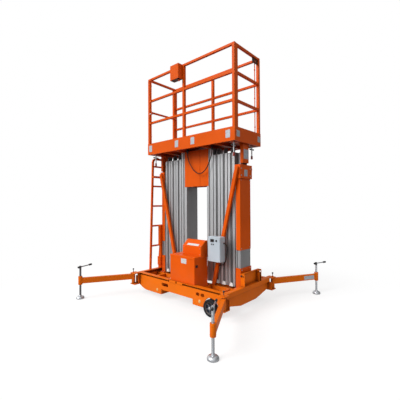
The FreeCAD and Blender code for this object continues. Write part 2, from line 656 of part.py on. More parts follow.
def end_rim(label, sign):
    # a channel open inwards, between the two side rims
    reach = "(base_width / 2 - rim_flange - plate_gap)"
    pieces = []
    for part, depth, low, high in (
            ("top", "rim_flange", "rim_top - rim_wall", "rim_top"),
            ("web", "rim_wall", rim_bottom, "rim_top"),
            ("lip", "rim_lip", rim_bottom, rim_bottom + " + rim_wall")):
        near, far = "%d * (base_length / 2 - %s)" % (sign, depth), "%d * base_length / 2" % sign
        along = (near, far) if sign > 0 else (far, near)
        pieces.append(box("end_%s_%s" % (part, label), (along[0], "-" + reach, low),
                          (along[1], reach, high)))
    return fused("end_rim_" + label, pieces)


def base_rims():
    rims = [side_rim(label, sign) for label, sign in ends]
    rims += [end_rim(label, sign) for label, sign in sides]
    return keep(compound("base_rims", rims), "base_rims")


def base_beams():
    level = "%s - beam_height / 2" % beam_top
    spots = ("castor_x", "-tunnel_half", "tunnel_half", "wheel_x")
    beams = [
        bar("cross_beam_%d" % index, (spot, "0", level),
            ("beam_width", "2 * " + skirt_in_y, "beam_height"))
        for index, spot in enumerate(spots, 1)]
    arches = []
    for label, sign in ends:
        near = "(wheel_y - wheel_width / 2 - wheel_clear)"
        start = near if sign > 0 else "-base_width / 2"
        arches.append(rod("beam_arch_" + label, ("wheel_x", start, "wheel_radius"),
                          "wheel_arch", "base_width / 2 - " + near, "Y"))
    beams[-1] = cut("arched_beam", beams[-1], fused("beam_arches", arches))
    clear = "(beam_width / 2 + plate_gap)"
    stops = [("-" + end_skirt_in, "castor_x - " + clear)]
    for before, after in zip(spots, spots[1:]):
        stops.append((before + " + " + clear, after + " - " + clear))
    stops.append(("wheel_x + " + clear, end_skirt_in))
    for label, sign in ends:
        middle = "mast_middle + %d * %s" % (sign, beam_offset)
        for index, (low, high) in enumerate(stops, 1):
            beams.append(box(
                "long_beam_%s_%d" % (label, index),
                (low, middle + " - beam_width / 2", beam_bottom),
                (high, middle + " + beam_width / 2", beam_top)))
    return keep(compound("base_beams", beams), "base_beams")


def fork_tunnel():
    # a wall and a lifting strip under each of the two inner cross beams
    linings = []
    for label, sign in sides:
        wall = "%d * tunnel_half" % sign
        strip = bar("fork_strip_" + label,
                    ("%s - %d * fork_strip / 2" % (wall, sign), "0",
                     "tunnel_roof + strip_wall / 2"),
                    ("fork_strip", "2 * " + skirt_in_y, "strip_wall"))
        lining = box("tunnel_wall_" + label,
                     ("%s - tunnel_wall / 2" % wall, "-" + skirt_in_y, "skirt_bottom"),
                     ("%s + tunnel_wall / 2" % wall, skirt_in_y, beam_bottom))
        linings.append(fused("tunnel_lining_" + label, [strip, lining]))
    return keep(compound("fork_tunnel", linings), "fork_tunnel")


def side_skirts():
    # boat-shaped side plates, stepped up over the fork tunnel, with hand slots and wheel arches
    wall_edge = "(tunnel_half + tunnel_wall / 2)"
    outline = [
        ("-" + skirt_end_x, skirt_top), ("-" + skirt_end_x, "skirt_tip"),
        ("-(skirt_flat + (%s - skirt_flat) * bow_along)" % skirt_end_x,
         "skirt_bottom + (skirt_tip - skirt_bottom) * bow_up", "via"),
        ("-skirt_flat", "skirt_bottom"), ("-" + wall_edge, "skirt_bottom"),
        ("-" + wall_edge, "tunnel_roof"), (wall_edge, "tunnel_roof"),
        (wall_edge, "skirt_bottom"),
        ("wheel_x - sqrt(wheel_arch^2 - (wheel_radius - skirt_bottom)^2)", "skirt_bottom"),
        ("wheel_x", "wheel_radius + wheel_arch", "via"),
        ("wheel_x + sqrt(wheel_arch^2 - (wheel_radius - skirt_bottom - skirt_lift)^2)",
         "skirt_bottom + skirt_lift"),
        (skirt_end_x, "skirt_tip"), (skirt_end_x, skirt_top),
    ]
    holes = [
        slot("slot_long_at", "slot_level", "slot_long", "slot_height"),
        slot("slot_short_at", "slot_level", "slot_short", "slot_height"),
        slot("slot_short_at + slot_pitch", "slot_level", "slot_short", "slot_height"),
    ]
    plates = [
        plate("skirt_" + label, [outline] + holes, "skirt_wall", "XZ",
              ("0", "%d * %s" % (sign, skirt_y), "0"))
        for label, sign in ends]
    return plates


def end_skirts():
    outline = [
        ("-" + skirt_in_y, rim_bottom), ("-" + skirt_in_y, "skirt_tip"),
        ("-end_flat", "end_bottom"), ("end_flat", "end_bottom"),
        (skirt_in_y, "skirt_tip"), (skirt_in_y, rim_bottom),
    ]
    plates = [
        plate("end_skirt_" + label, [outline], "skirt_wall", "YZ",
              ("%d * %s" % (sign, end_skirt_x), "0", "0"))
        for label, sign in sides]
    return plates


corners = (
    # name, side along X, side along Y, tommy bar direction in degrees
    ("front_left", -1, -1, 107),
    ("front_right", 1, -1, 120),
    ("back_left", -1, 1, 300),
    ("back_right", 1, 1, 72),
)


def corner_brackets():
    # two ears on a back plate at each corner of the base
    brackets = []
    ear_top = "rim_top"
    for label, along, across, tommy in corners:
        middle = "%d * (hinge_x + ear_reach - ear_width / 2)" % along
        reach = "(hinge_y + ear_reach - base_width / 2)"
        ear_y = "%d * (base_width / 2 + %s / 2)" % (across, reach)
        pieces = [
            bar("ear_top_" + label, (middle, ear_y, ear_top + " - ear_wall / 2"),
                ("ear_width", reach, "ear_wall")),
            bar("ear_low_" + label, (middle, ear_y, "ear_bottom + ear_wall / 2"),
                ("ear_width", reach, "ear_wall")),
            bar("ear_back_" + label,
                (middle, "%d * (base_width / 2 - skirt_inset / 2)" % across,
                 "(ear_bottom + %s) / 2" % rim_bottom),
                ("ear_width", "skirt_inset", "%s - ear_bottom" % rim_bottom)),
            bar("ear_side_" + label,
                ("%d * (hinge_x + ear_reach - ear_width + ear_wall / 2)" % along,
                 "%d * (base_width / 2 + ear_wall)" % across,
                 "(ear_bottom + rim_top) / 2"),
                ("ear_wall", "2 * ear_wall", "rim_top - ear_bottom")),
            rod("hinge_pin_" + label,
                ("%d * hinge_x" % along, "%d * hinge_y" % across, "ear_bottom - pin_below"),
                "hinge_radius", "rim_top - ear_bottom + pin_below + pin_above"),
            rod("knob_stem_" + label,
                ("%d * hinge_x" % along, "%d * hinge_y" % across, "rim_top"),
                "knob_stem", "knob_level - rim_top"),
        ]
        knob = document.addObject("Part::Sphere", "knob_" + label)
        knob.setExpression("Radius", bound("knob_radius"))
        place(knob, ("%d * hinge_x" % along, "%d * hinge_y" % across, "knob_level"))
        brackets.append(fused("bracket_" + label, pieces + [knob]))
    return keep(compound("corner_brackets", brackets), "corner_brackets")


def section_loops(width, sign, slotted, tongue):
    # cross section of an extrusion: a chain groove between two flutes front and back, a guide
    # slot on the inner face and a guide tongue on the outer face; it starts at its inner face
    half = "mast_depth / 2"
    inner = "0"
    outer = "%d * %s" % (sign, width)
    left = "%d * (%s - groove_width) / 2" % (sign, width)
    right = "%d * (%s + groove_width) / 2" % (sign, width)
    floor = "(mast_depth / 2 - groove_depth)"
    flank = "(%s - groove_width) / 2" % width

    def fluted(start, step, level, inward):
        # a flute in the middle of a flank: step is the way along, inward the way into the wall
        low = "%d * (%s) + %d * (%s - flute_width) / 2" % (sign, start, step * sign, flank)
        high = "%s + %d * flute_width" % (low, step * sign)
        deep = "%s + %d * flute_depth" % (level, inward)
        return [(low, level), (low, deep), (high, deep), (high, level)]

    past = "(%s + groove_width) / 2" % width
    loop = [
        (inner, "-" + half), *fluted("0", 1, "-" + half, 1),
        (left, "-" + half), (left, "-" + floor), (right, "-" + floor),
        (right, "-" + half), *fluted(past, 1, "-" + half, 1), (outer, "-" + half),
    ]
    if tongue:
        neck = "%d * (%s + mast_pitch - section_width + lip_wall + guide_gap)" % (sign, width)
        tip = "%d * (%s + mast_pitch - section_width + lip_wall + chamber_depth - guide_gap)" % (
            sign, width)
        thin = "(slot_mouth / 2 - guide_gap)"
        wide = "(slot_chamber / 2 - guide_gap)"
        loop += [
            (outer, "-" + thin), (neck, "-" + thin), (neck, "-" + wide), (tip, "-" + wide),
            (tip, wide), (neck, wide), (neck, thin), (outer, thin),
        ]
    loop += [
        (outer, half), *fluted(width, -1, half, -1), (right, half), (right, floor),
        (left, floor), (left, half), *fluted(flank, -1, half, -1), (inner, half),
    ]
    if slotted:
        lip = "%d * lip_wall" % sign
        deep = "%d * (lip_wall + chamber_depth)" % sign
        loop += [
            (inner, "slot_mouth / 2"), (lip, "slot_mouth / 2"), (lip, "slot_chamber / 2"),
            (deep, "slot_chamber / 2"), (deep, "-slot_chamber / 2"),
            (lip, "-slot_chamber / 2"), (lip, "-slot_mouth / 2"), (inner, "-slot_mouth / 2"),
        ]
    near = "%d * section_wall" % sign
    far = "%d * (%s - section_wall)" % (sign, width)
    cell_low = "(slot_chamber / 2 + section_wall)"
    cell_high = "(%s - section_wall)" % floor
    loops = [loop, rectangle((near, cell_low), (far, cell_high)),
             rectangle((near, "-" + cell_high), (far, "-" + cell_low))]
    start = "%d * (lip_wall + chamber_depth + section_wall)" % sign if slotted else near
    loops.append(rectangle((start, "-slot_chamber / 2"), (far, "slot_chamber / 2")))
    return loops


def mast_section(label, inner_face, width, low, high, slotted=True, tongue=True):
    columns = []
    for side, sign in sides:
        name = "%s_%s" % (label, side)
        columns.append(plate(
            name, section_loops(width, sign, slotted, tongue), "(%s) - (%s)" % (high, low), "XY",
            ("%d * (%s)" % (sign, inner_face), "mast_middle", "((%s) + (%s)) / 2" % (low, high))))
    return columns


def masts():
    keep(compound("mast_fixed", mast_section(
        "fixed_section", fixed_inner, "fixed_width", mast_floor, "fixed_top", True, False)),
        "mast_fixed")
    for stage in (1, 2, 3):
        keep(compound("mast_stage_%d" % stage, mast_section(
            "stage_%d_section" % stage, "mast_inner + %d * mast_pitch" % (4 - stage),
            "section_width", "section_bottom", "section_top")), "mast_stage_%d" % stage)
    keep(compound("mast_inner_pair", mast_section(
        "inner_section", "mast_inner", "section_width", "section_bottom", "deck_bottom",
        False, True)), "mast_inner_pair")


def chains(stage):
    # chain wheel between two cheeks on top of a section, and the leaf chain in its groove
    hoists = []
    chain_y = "(%s + groove_depth - chain_depth / 2)" % mast_front
    wheel_y = "(%s + pulley_radius)" % chain_y
    wheel_z = "(section_top + pulley_rise)"
    for side, sign in sides:
        tag = "%d_%s" % (stage, side)
        middle = "%d * (mast_inner + %d * mast_pitch + section_width / 2)" % (sign, 4 - stage)
        cheek_at = "(pulley_width / 2 + cheek_gap + cheek_wall / 2)"
        pieces = [
            rod("pulley_" + tag, (middle + " - pulley_width / 2", wheel_y, wheel_z),
                "pulley_radius", "pulley_width", "X"),
            rod("pulley_axle_" + tag,
                (middle + " - %s - cheek_wall" % cheek_at, wheel_y, wheel_z),
                "pulley_axle", "2 * (%s + cheek_wall)" % cheek_at, "X"),
            bar("chain_" + tag,
                (middle, chain_y, "(chain_bottom + %s) / 2" % wheel_z),
                ("chain_width", "chain_depth", "%s - chain_bottom" % wheel_z)),
        ]
        for step in (-1, 1):
            pieces.append(box(
                "cheek_%s_%s" % (tag, "low" if step < 0 else "high"),
                (middle + " + %d * %s - cheek_wall / 2" % (step, cheek_at),
                 wheel_y + " - cheek_depth / 2", "section_top"),
                (middle + " + %d * %s + cheek_wall / 2" % (step, cheek_at),
                 wheel_y + " + cheek_depth / 2", wheel_z + " + cheek_rise")))
        hoists.append(fused("hoist_" + tag, pieces))
    return keep(compound("chain_hoist_%d" % stage, hoists), "chain_hoist_%d" % stage)


def wrap_loops(sign, inner, outer, reach, wall):
    # a C of even wall round the front, outer and back faces of the fixed section
    return [[
        ("%d * (%s)" % (sign, inner), "-(%s)" % reach),
        ("%d * (%s)" % (sign, outer), "-(%s)" % reach),
        ("%d * (%s)" % (sign, outer), reach),
        ("%d * (%s)" % (sign, inner), reach),
        ("%d * (%s)" % (sign, inner), "%s - (%s)" % (reach, wall)),
        ("%d * (%s - (%s))" % (sign, outer, wall), "%s - (%s)" % (reach, wall)),
        ("%d * (%s - (%s))" % (sign, outer, wall), "-(%s - (%s))" % (reach, wall)),
        ("%d * (%s)" % (sign, inner), "-(%s - (%s))" % (reach, wall)),
    ]]


def wraps(name, inner, outer, reach, wall, low, high):
    return [
        plate("%s_%s" % (name, side), wrap_loops(sign, inner, outer, reach, wall),
              "(%s) - (%s)" % (high, low), "XY",
              ("0", "mast_middle", "((%s) + (%s)) / 2" % (low, high)))
        for side, sign in sides]


def mast_covers():
    keep(compound("end_covers", wraps(
        "end_cover", fixed_inner + " + cover_gap", cover_outer, "mast_depth / 2 + cover_wall",
        "cover_wall", "cover_bottom", "cover_top")), "end_covers")
    keep(compound("top_brackets", wraps(
        "top_bracket", fixed_inner + " + wrap_gap", fixed_outer + " + bracket_wall",
        "mast_depth / 2 + bracket_wall", "bracket_wall", "cover_top", "bracket_top")),
        "top_brackets")
    sleeves = wraps(
        "foot_sleeve", fixed_inner + " + wrap_gap", fixed_outer + " + foot_wall",
        "mast_depth / 2 + foot_wall", "foot_wall", mast_floor, "foot_top")
    feet = [
        fused("mast_foot_" + side, [sleeve, bar(
            "foot_plate_" + side,
            ("%d * (%s + foot_wall - foot_plate_length / 2 + foot_plate_past)" % (sign, fixed_outer),
             "mast_middle", "%s + foot_plate / 2" % beam_top),
            ("foot_plate_length", "2 * %s" % beam_offset, "foot_plate"))])
        for sleeve, (side, sign) in zip(sleeves, sides)]
    keep(compound("mast_feet", feet), "mast_feet")


def braces():
    struts = []
    for side, sign in sides:
        for label, level in (("front", brace_front_y), ("back", brace_back_y)):
            outline = [
                ("%d * (brace_foot - brace_width / 2)" % sign, beam_top),
                ("%d * (brace_foot + brace_width / 2)" % sign, beam_top),
                ("%d * (brace_head + brace_width / 2)" % sign, "brace_top - brace_width / 2"),
                ("%d * (brace_head + brace_width / 2)" % sign, "brace_top"),
                ("%d * (brace_head - brace_width / 2)" % sign, "brace_top"),
                ("%d * (brace_head - brace_width / 2)" % sign, "brace_top - brace_width / 2"),
            ]
            struts.append(plate(
                "brace_%s_%s" % (label, side), [outline], "brace_depth", "XZ",
                ("0", level, "0")))
    return keep(compound("braces", struts), "braces")


def ladder():
    # stiles that draw together towards an arched head, five rungs and a stay to the mast
    half = "ladder_stile / 2"
    out_foot, in_foot = "(ladder_foot + %s)" % half, "(ladder_foot - %s)" % half
    out_head, in_head = "(ladder_head + %s)" % half, "(ladder_head - %s)" % half
    bend = 1 - math.sqrt(0.5)
    spring = "(ladder_top - arch_radius)"
    inner_radius = "(arch_radius - ladder_stile)"
    outline = [
        ("-" + out_foot, "rim_top"), ("-" + out_head, spring),
        ("-%s + %r * arch_radius" % (out_head, bend), "ladder_top - %r * arch_radius" % bend,
         "via"),
        ("-%s + arch_radius" % out_head, "ladder_top"),
        ("%s - arch_radius" % out_head, "ladder_top"),
        ("%s - %r * arch_radius" % (out_head, bend), "ladder_top - %r * arch_radius" % bend,
         "via"),
        (out_head, spring), (out_foot, "rim_top"), (in_foot, "rim_top"), (in_head, spring),
        ("%s - %r * %s" % (in_head, bend, inner_radius),
         "ladder_top - ladder_stile - %r * %s" % (bend, inner_radius), "via"),
        ("%s - arch_radius" % out_head, "ladder_top - ladder_stile"),
        ("-%s + arch_radius" % out_head, "ladder_top - ladder_stile"),
        ("-%s + %r * %s" % (in_head, bend, inner_radius),
         "ladder_top - ladder_stile - %r * %s" % (bend, inner_radius), "via"),
        ("-" + in_head, spring), ("-" + in_foot, "rim_top"),
    ]
    stiles = plate("stile_frame", [outline], "ladder_depth", "YZ", ("-ladder_at", "0", "0"))
    rungs = []
    for index in range(int(number("rung_count"))):
        level = "rung_first + %d * rung_pitch" % index
        reach = ("(ladder_foot + (ladder_head - ladder_foot) * (%s - rim_top)"
                 " / (%s - rim_top))" % (level, spring))
        rungs.append(cut(
            "rung_%d" % (index + 1),
            rod("rung_bar_%d" % (index + 1), ("-ladder_at", "-" + reach, level),
                "rung_radius", "2 * " + reach, "Y"), stiles))
    keep(compound("ladder_rungs", rungs), "ladder_rungs")
    stay = box("ladder_stay",
               ("-ladder_at + ladder_depth / 2", "-ladder_head - stay_past",
                "stay_level - stay_height / 2"),
               ("-(%s + bracket_wall)" % fixed_outer, "ladder_head + stay_past",
                "stay_level + stay_height / 2"))
    return keep(fused("ladder_frame", [stiles, stay]), "ladder_stiles")


def ladder_support():
    # channel between the ladder's lower rungs and the mast, above a small valve box
    inner = "-(%s + foot_wall + plate_gap)" % fixed_outer
    outer = "-ladder_at + rung_radius + plate_gap"
    low, high = "rung_first + support_rise", "rung_first + support_rise + support_height"
    near, far = "support_at - support_width / 2", "support_at + support_width / 2"
    back = "-(%s + plate_gap" % cover_outer
    channel_box = box("support_channel", (outer, near, low), (back + ")", far, high))
    hollow = box("support_hollow",
                 (outer + " - cut_past", near + " + support_wall", low + " + support_wall"),
                 (back + " + support_back)", far + " - support_wall", high + " - support_wall"))
    valve_low, valve_high = "rim_top + valve_lift", "rim_top + valve_lift + valve_height"
    throat = plate("support_throat", [[
        (outer, low), (inner, low), (inner, valve_high), ("-ladder_at - throat_past", valve_high),
        (outer, "rung_first - rung_radius - plate_gap")]],
        "throat_width", "XZ", ("0", "support_at", "0"))
    valve_outer = "-ladder_at - valve_past"
    valve = box("valve_box", (valve_outer, "valve_at - valve_width / 2", valve_low),
                (inner, "valve_at + valve_width / 2", valve_high))
    foot = box("valve_foot", (valve_outer, "valve_at - valve_foot_width / 2", "rim_top"),
               (inner, "valve_at + valve_foot_width / 2", valve_low))
    return keep(fused("support_solid", [
        cut("support_shell", channel_box, hollow), throat, valve, foot]), "ladder_support")


def power_unit():
    housing = box("power_housing", ("power_left", "power_front", "rim_top"),
                  ("power_right", "power_back", "power_top"))
    rounded = document.addObject("Part::Fillet", "power_rounded")
    rounded.Base = housing
    radius = number("power_round")
    rounded.Edges = [(edge, radius, radius) for edge in (1, 3, 5, 7, 2, 6, 10, 12)]
    base = box("power_base",
               ("power_left", "-base_width / 2 + rim_flange", beam_top),
               ("power_right", "power_back", "rim_top"))
    return keep(fused("power_unit", [rounded, base]), "power_unit")


def control_console():
    outline = [
        ("console_front", "power_top"), ("power_back", "power_top"),
        ("power_back", "power_top + console_high"),
        ("power_back - console_ledge", "power_top + console_high"),
        ("console_front", "power_top + console_low"),
    ]
    return keep(plate(
        "control_console", [outline], "power_right - console_left", "YZ",
        ("(power_right + console_left) / 2", "0", "0")), "control_console")


def brace_at(level):
    # middle of a brace from the middle of the base, at a level
    return ("(brace_foot + (brace_head - brace_foot) * (%s - %s)"
            " / (brace_top - brace_width / 2 - %s))" % (level, beam_top, beam_top))


def control_box():
    middle = brace_at("panel_box_bottom + panel_box_height / 2") + " + panel_box_shift"
    housing = bar("panel_housing",
                  (middle, "panel_box_back - panel_box_depth / 2",
                   "panel_box_bottom + panel_box_height / 2"),
                  ("panel_box_width", "panel_box_depth", "panel_box_height"))
    rounded = document.addObject("Part::Fillet", "panel_rounded")
    rounded.Base = housing
    radius = number("panel_box_round")
    rounded.Edges = [(edge, radius, radius) for edge in range(1, 13)]
    arm_at = brace_at("panel_box_bottom + panel_arm_low + panel_arm_height / 2")
    arm = box("panel_arm",
              (arm_at + " - panel_arm_width / 2", "panel_box_back - panel_arm_sink",
               "panel_box_bottom + panel_arm_low"),
              (arm_at + " + panel_arm_width / 2", brace_front_y + " - brace_depth / 2",
               "panel_box_bottom + panel_arm_low + panel_arm_height"))
    return keep(fused("control_box", [rounded, arm]), "control_box")


def tow_bracket():
    outer = "base_length / 2"
    inner = "base_length / 2 - tow_depth"
    top = "rim_top + tow_height"
    pieces = [
        box("tow_web", (inner, "tow_near", "rim_top"),
            (inner + " + tow_wall", "tow_far", top)),
        box("tow_near_cheek", (inner, "tow_near - tow_wall / 2", "rim_top"),
            (outer, "tow_near + tow_wall / 2", top)),
        box("tow_far_cheek", (inner, "tow_far - tow_wall / 2", "rim_top"),
            (outer, "tow_far + tow_wall / 2", top)),
        box("tow_rib", (inner, "tow_far - tow_rib_in - tow_wall / 2", "rim_top"),
            (outer, "tow_far - tow_rib_in + tow_wall / 2", top)),
        box("tow_lip", (inner, "tow_near", top + " - tow_wall"),
            (inner + " + tow_lip", "tow_far", top)),
        rod("tow_knob",
            (inner + " + tow_knob_in", "tow_near - tow_knob_out", top + " - tow_knob_drop"),
            "tow_knob", "tow_knob_length", "Y"),
    ]
    hole = rod("tow_pin_hole",
               ("base_length / 2 - tow_hole_in", "tow_near - tow_wall", top + " - tow_hole_drop"),
               "tow_hole", "tow_far - tow_near + 2 * tow_wall", "Y")
    return keep(cut("tow_solid", fused("tow_channel", pieces), hole), "tow_bracket")


def arms():
    knuckle_low = "ear_bottom + ear_wall + knuckle_gap"
    knuckle_high = "rim_top - ear_wall - knuckle_gap"
    for label, along, across, tommy in corners:
        tube = box("tube_" + label, ("0", "-arm_width / 2", "arm_bottom"),
                   ("arm_length", "arm_width / 2", "arm_bottom + arm_height"))
        knuckle = rod("knuckle_" + label, ("0", "0", knuckle_low), "knuckle_radius",
                      "(%s) - (%s)" % (knuckle_high, knuckle_low))
        sleeve = rod("sleeve_" + label, ("arm_length", "0", "sleeve_bottom"), "sleeve_radius",
                     "sleeve_top - sleeve_bottom")
        solid = cut("arm_shell_" + label,
                    fused("arm_solid_" + label, [tube, knuckle, sleeve]),
                    fused("arm_bores_" + label, [
                        rod("knuckle_bore_" + label, ("0", "0", "0"),
                            "hinge_radius + pin_gap", "rim_top"),
                        rod("sleeve_bore_" + label, ("arm_length", "0", "0"),
                            "screw_radius + screw_gap", "sleeve_top + cut_past")]))
        angle = {(1, -1): "360 - arm_splay", (1, 1): "arm_splay",
                 (-1, 1): "180 - arm_splay", (-1, -1): "180 + arm_splay"}[(along, across)]
        place(solid, ("%d * hinge_x" % along, "%d * hinge_y" % across, "0"), angle=angle)
        keep(solid, "outrigger_" + label)


def jacks():
    # foot, screw and sliding tommy bar with two grips
    for label, along, across, tommy in corners:
        foot = turned("foot_" + label, [[
            ("0", "0"), ("foot_radius", "0"), ("foot_radius", "foot_rim"),
            ("foot_bow", "foot_bow_level", "via"),
            ("foot_neck", "foot_height"), ("0", "foot_height")]], "XZ")
        screw = rod("screw_" + label, ("0", "0", "foot_height / 2"), "screw_radius",
                    "screw_top - foot_height / 2")
        tommy_bar = rod("tommy_" + label, ("-tommy_short", "0", "tommy_level"), "tommy_radius",
                        "tommy_short + tommy_long", "X")
        grips = [
            rod("grip_short_" + label, ("-tommy_short", "0", "tommy_level"), "grip_radius",
                "grip_short", "X"),
            rod("grip_long_" + label, ("tommy_long - grip_length", "0", "tommy_level"),
                "grip_radius", "grip_length", "X"),
        ]
        jack = fused("jack_" + label, [foot, screw, tommy_bar] + grips)
        spot = ("%d * (hinge_x + arm_length * cos(arm_splay))" % along,
                "%d * (hinge_y + arm_length * sin(arm_splay))" % across, "0")
        place(jack, spot, angle=str(tommy))
        keep(jack, "jack_" + label)


def wheel_loops(radius, width, bore, dish):
    # half section of a solid tyre on a dished hub
    half = "(%s) / 2" % width
    return [[
        (bore, "-%s" % half), ("(%s) * boss_share" % radius, "-%s" % half),
        ("(%s) * web_start" % radius, "-%s + %s" % (half, dish)),
        ("(%s) * web_end" % radius, "-%s + %s" % (half, dish)),
        ("(%s) * tyre_start" % radius, "-%s" % half), ("(%s) * tread_share" % radius, "-%s" % half),
        (radius, "-%s + (%s) * (1 - tread_share)" % (half, radius)),
        (radius, "%s - (%s) * (1 - tread_share)" % (half, radius)),
        ("(%s) * tread_share" % radius, half), ("(%s) * tyre_start" % radius, half),
        ("(%s) * web_end" % radius, "%s - %s" % (half, dish)),
        ("(%s) * web_start" % radius, "%s - %s" % (half, dish)),
        ("(%s) * boss_share" % radius, half), (bore, half),
    ]]


def wheels():
    for label, sign in ends:
        keep(turned(
            "wheel_" + label, wheel_loops("wheel_radius", "wheel_width",
                                          "axle_radius + pin_gap", "wheel_dish"),
            "XY", ("wheel_x", "%d * wheel_y" % sign, "wheel_radius")), "wheel_" + label)
        keep(turned(
            "castor_wheel_" + label, wheel_loops("castor_radius", "castor_width",
                                                 "castor_pin + pin_gap", "castor_dish"),
            "XY", ("castor_x - castor_trail", "%d * castor_y" % sign, "castor_radius")),
            "castor_wheel_" + label)


def wheel_mounts():
    # plates under the cross beam that carry the stub axles
    mounts = []
    for label, sign in ends:
        hanger = bar("axle_hanger_" + label,
                     ("wheel_x", "%d * axle_plate_at" % sign,
                      "(wheel_radius - axle_plate_below + %s) / 2" % beam_bottom),
                     ("axle_plate_width", "axle_plate",
                      "%s - wheel_radius + axle_plate_below" % beam_bottom))
        start = "wheel_y - wheel_width / 2 - shoulder_gap"
        tip = "wheel_y + wheel_width / 2 + axle_past"
        low = "axle_inner" if sign > 0 else "-(%s)" % tip
        axle = rod("stub_axle_" + label, ("wheel_x", low, "wheel_radius"), "axle_radius",
                   "(%s) - axle_inner" % tip, "Y")
        shoulder_low = "axle_plate_at" if sign > 0 else "-(%s)" % start
        shoulder = rod("axle_shoulder_" + label, ("wheel_x", shoulder_low, "wheel_radius"),
                       "axle_radius + shoulder_wall", "(%s) - axle_plate_at" % start, "Y")
        mounts.append(fused("axle_mount_" + label, [hanger, axle, shoulder]))
    return mounts


def castors():
    plates = []
    crown_top = "(%s - castor_wall - castor_gap)" % beam_bottom
    crown_low = "(%s - crown_height)" % crown_top
    leg_at = "(castor_width / 2 + fork_gap + fork_wall / 2)"
    for label, sign in ends:
        spot = "%d * castor_y" % sign
        plates.append(fused("castor_plate_" + label, [
            bar("castor_top_" + label, ("castor_x", spot, "%s - castor_wall / 2" % beam_bottom),
                ("castor_plate", "castor_plate", "castor_wall")),
            rod("king_pin_" + label, ("castor_x", spot, crown_low + " - castor_pin_past"),
                "castor_pin", "%s - %s + castor_pin_past" % (beam_bottom, crown_low)),
        ]))
        crown = cut("crown_ring_" + label,
                    rod("crown_" + label, ("castor_x", spot, crown_low), "crown_radius",
                        "crown_height"),
                    rod("crown_bore_" + label, ("castor_x", spot, crown_low + " - cut_past"),
                        "castor_pin + pin_gap", "crown_height + 2 * cut_past"))
        outline = [
            ("crown_radius - fork_short", crown_low + " + fork_lap"),
            ("-crown_radius - fork_long", crown_low + " + fork_lap"),
            ("-castor_trail - fork_toe", "castor_radius - fork_side"),
            ("-castor_trail", "castor_radius - fork_tip"),
            ("-castor_trail + fork_toe", "castor_radius - fork_side"),
        ]
        legs = [
            plate("fork_leg_%s_%d" % (label, step + 2), [outline], "fork_wall", "XZ",
                  ("castor_x", "%s + %d * %s" % (spot, step, leg_at), "0"))
            for step in (-1, 1)]
        span = "(2 * %s + fork_wall)" % leg_at
        axle = rod("castor_axle_" + label,
                   ("castor_x - castor_trail", "%s - %s / 2 - castor_axle_past" % (spot, span),
                    "castor_radius"),
                   "castor_pin", span + " + 2 * castor_axle_past", "Y")
        keep(fused("castor_fork_" + label, [crown] + legs + [axle]), "castor_fork_" + label)
    return plates


def platform_deck():
    # tubes round the edge, bearers between them and the floor plate on top
    level = "deck_bottom + deck_frame / 2"
    tubes = []
    for label, sign in ends:
        tubes.append(bar("deck_tube_" + label,
                         ("0", "%d * (%s - deck_tube / 2)" % (sign, toe_in_y), level),
                         ("2 * " + toe_in_x, "deck_tube", "deck_frame")))
    spots = ["%d * %s" % (sign, bearer_at % index) for label, sign in sides for index in range(3)]
    spots += ["%d * (%s - deck_tube / 2)" % (sign, toe_in_x) for label, sign in sides]
    bearers = [
        bar("bearer_%d" % index, (spot, "0", level),
            ("bearer_width" if index <= 6 else "deck_tube",
             "2 * (%s - deck_tube - plate_gap)" % toe_in_y, "deck_frame"))
        for index, spot in enumerate(spots, 1)]
    keep(compound("deck_frame_tubes", tubes + bearers), "deck_frame")
    return keep(bar("floor_sheet", ("0", "0", "deck_bottom + deck_frame + deck_plate / 2"),
                    ("2 * " + toe_in_x, "2 * " + toe_in_y, "deck_plate")), "platform_floor")


def toe_boards():
    level = "deck_bottom + toe_height / 2"
    boards = []
    for label, sign in ends:
        boards.append(bar("toe_board_" + label,
                          ("0", "%d * (deck_width - toe_wall) / 2" % sign, level),
                          ("deck_length", "toe_wall", "toe_height")))
    for label, sign in sides:
        boards.append(bar("toe_board_" + label,
                          ("%d * (deck_length - toe_wall) / 2" % sign, "0", level),
                          ("toe_wall", "2 * (%s - panel_gap)" % toe_in_y, "toe_height")))
    return keep(compound("toe_boards", boards), "toe_boards")


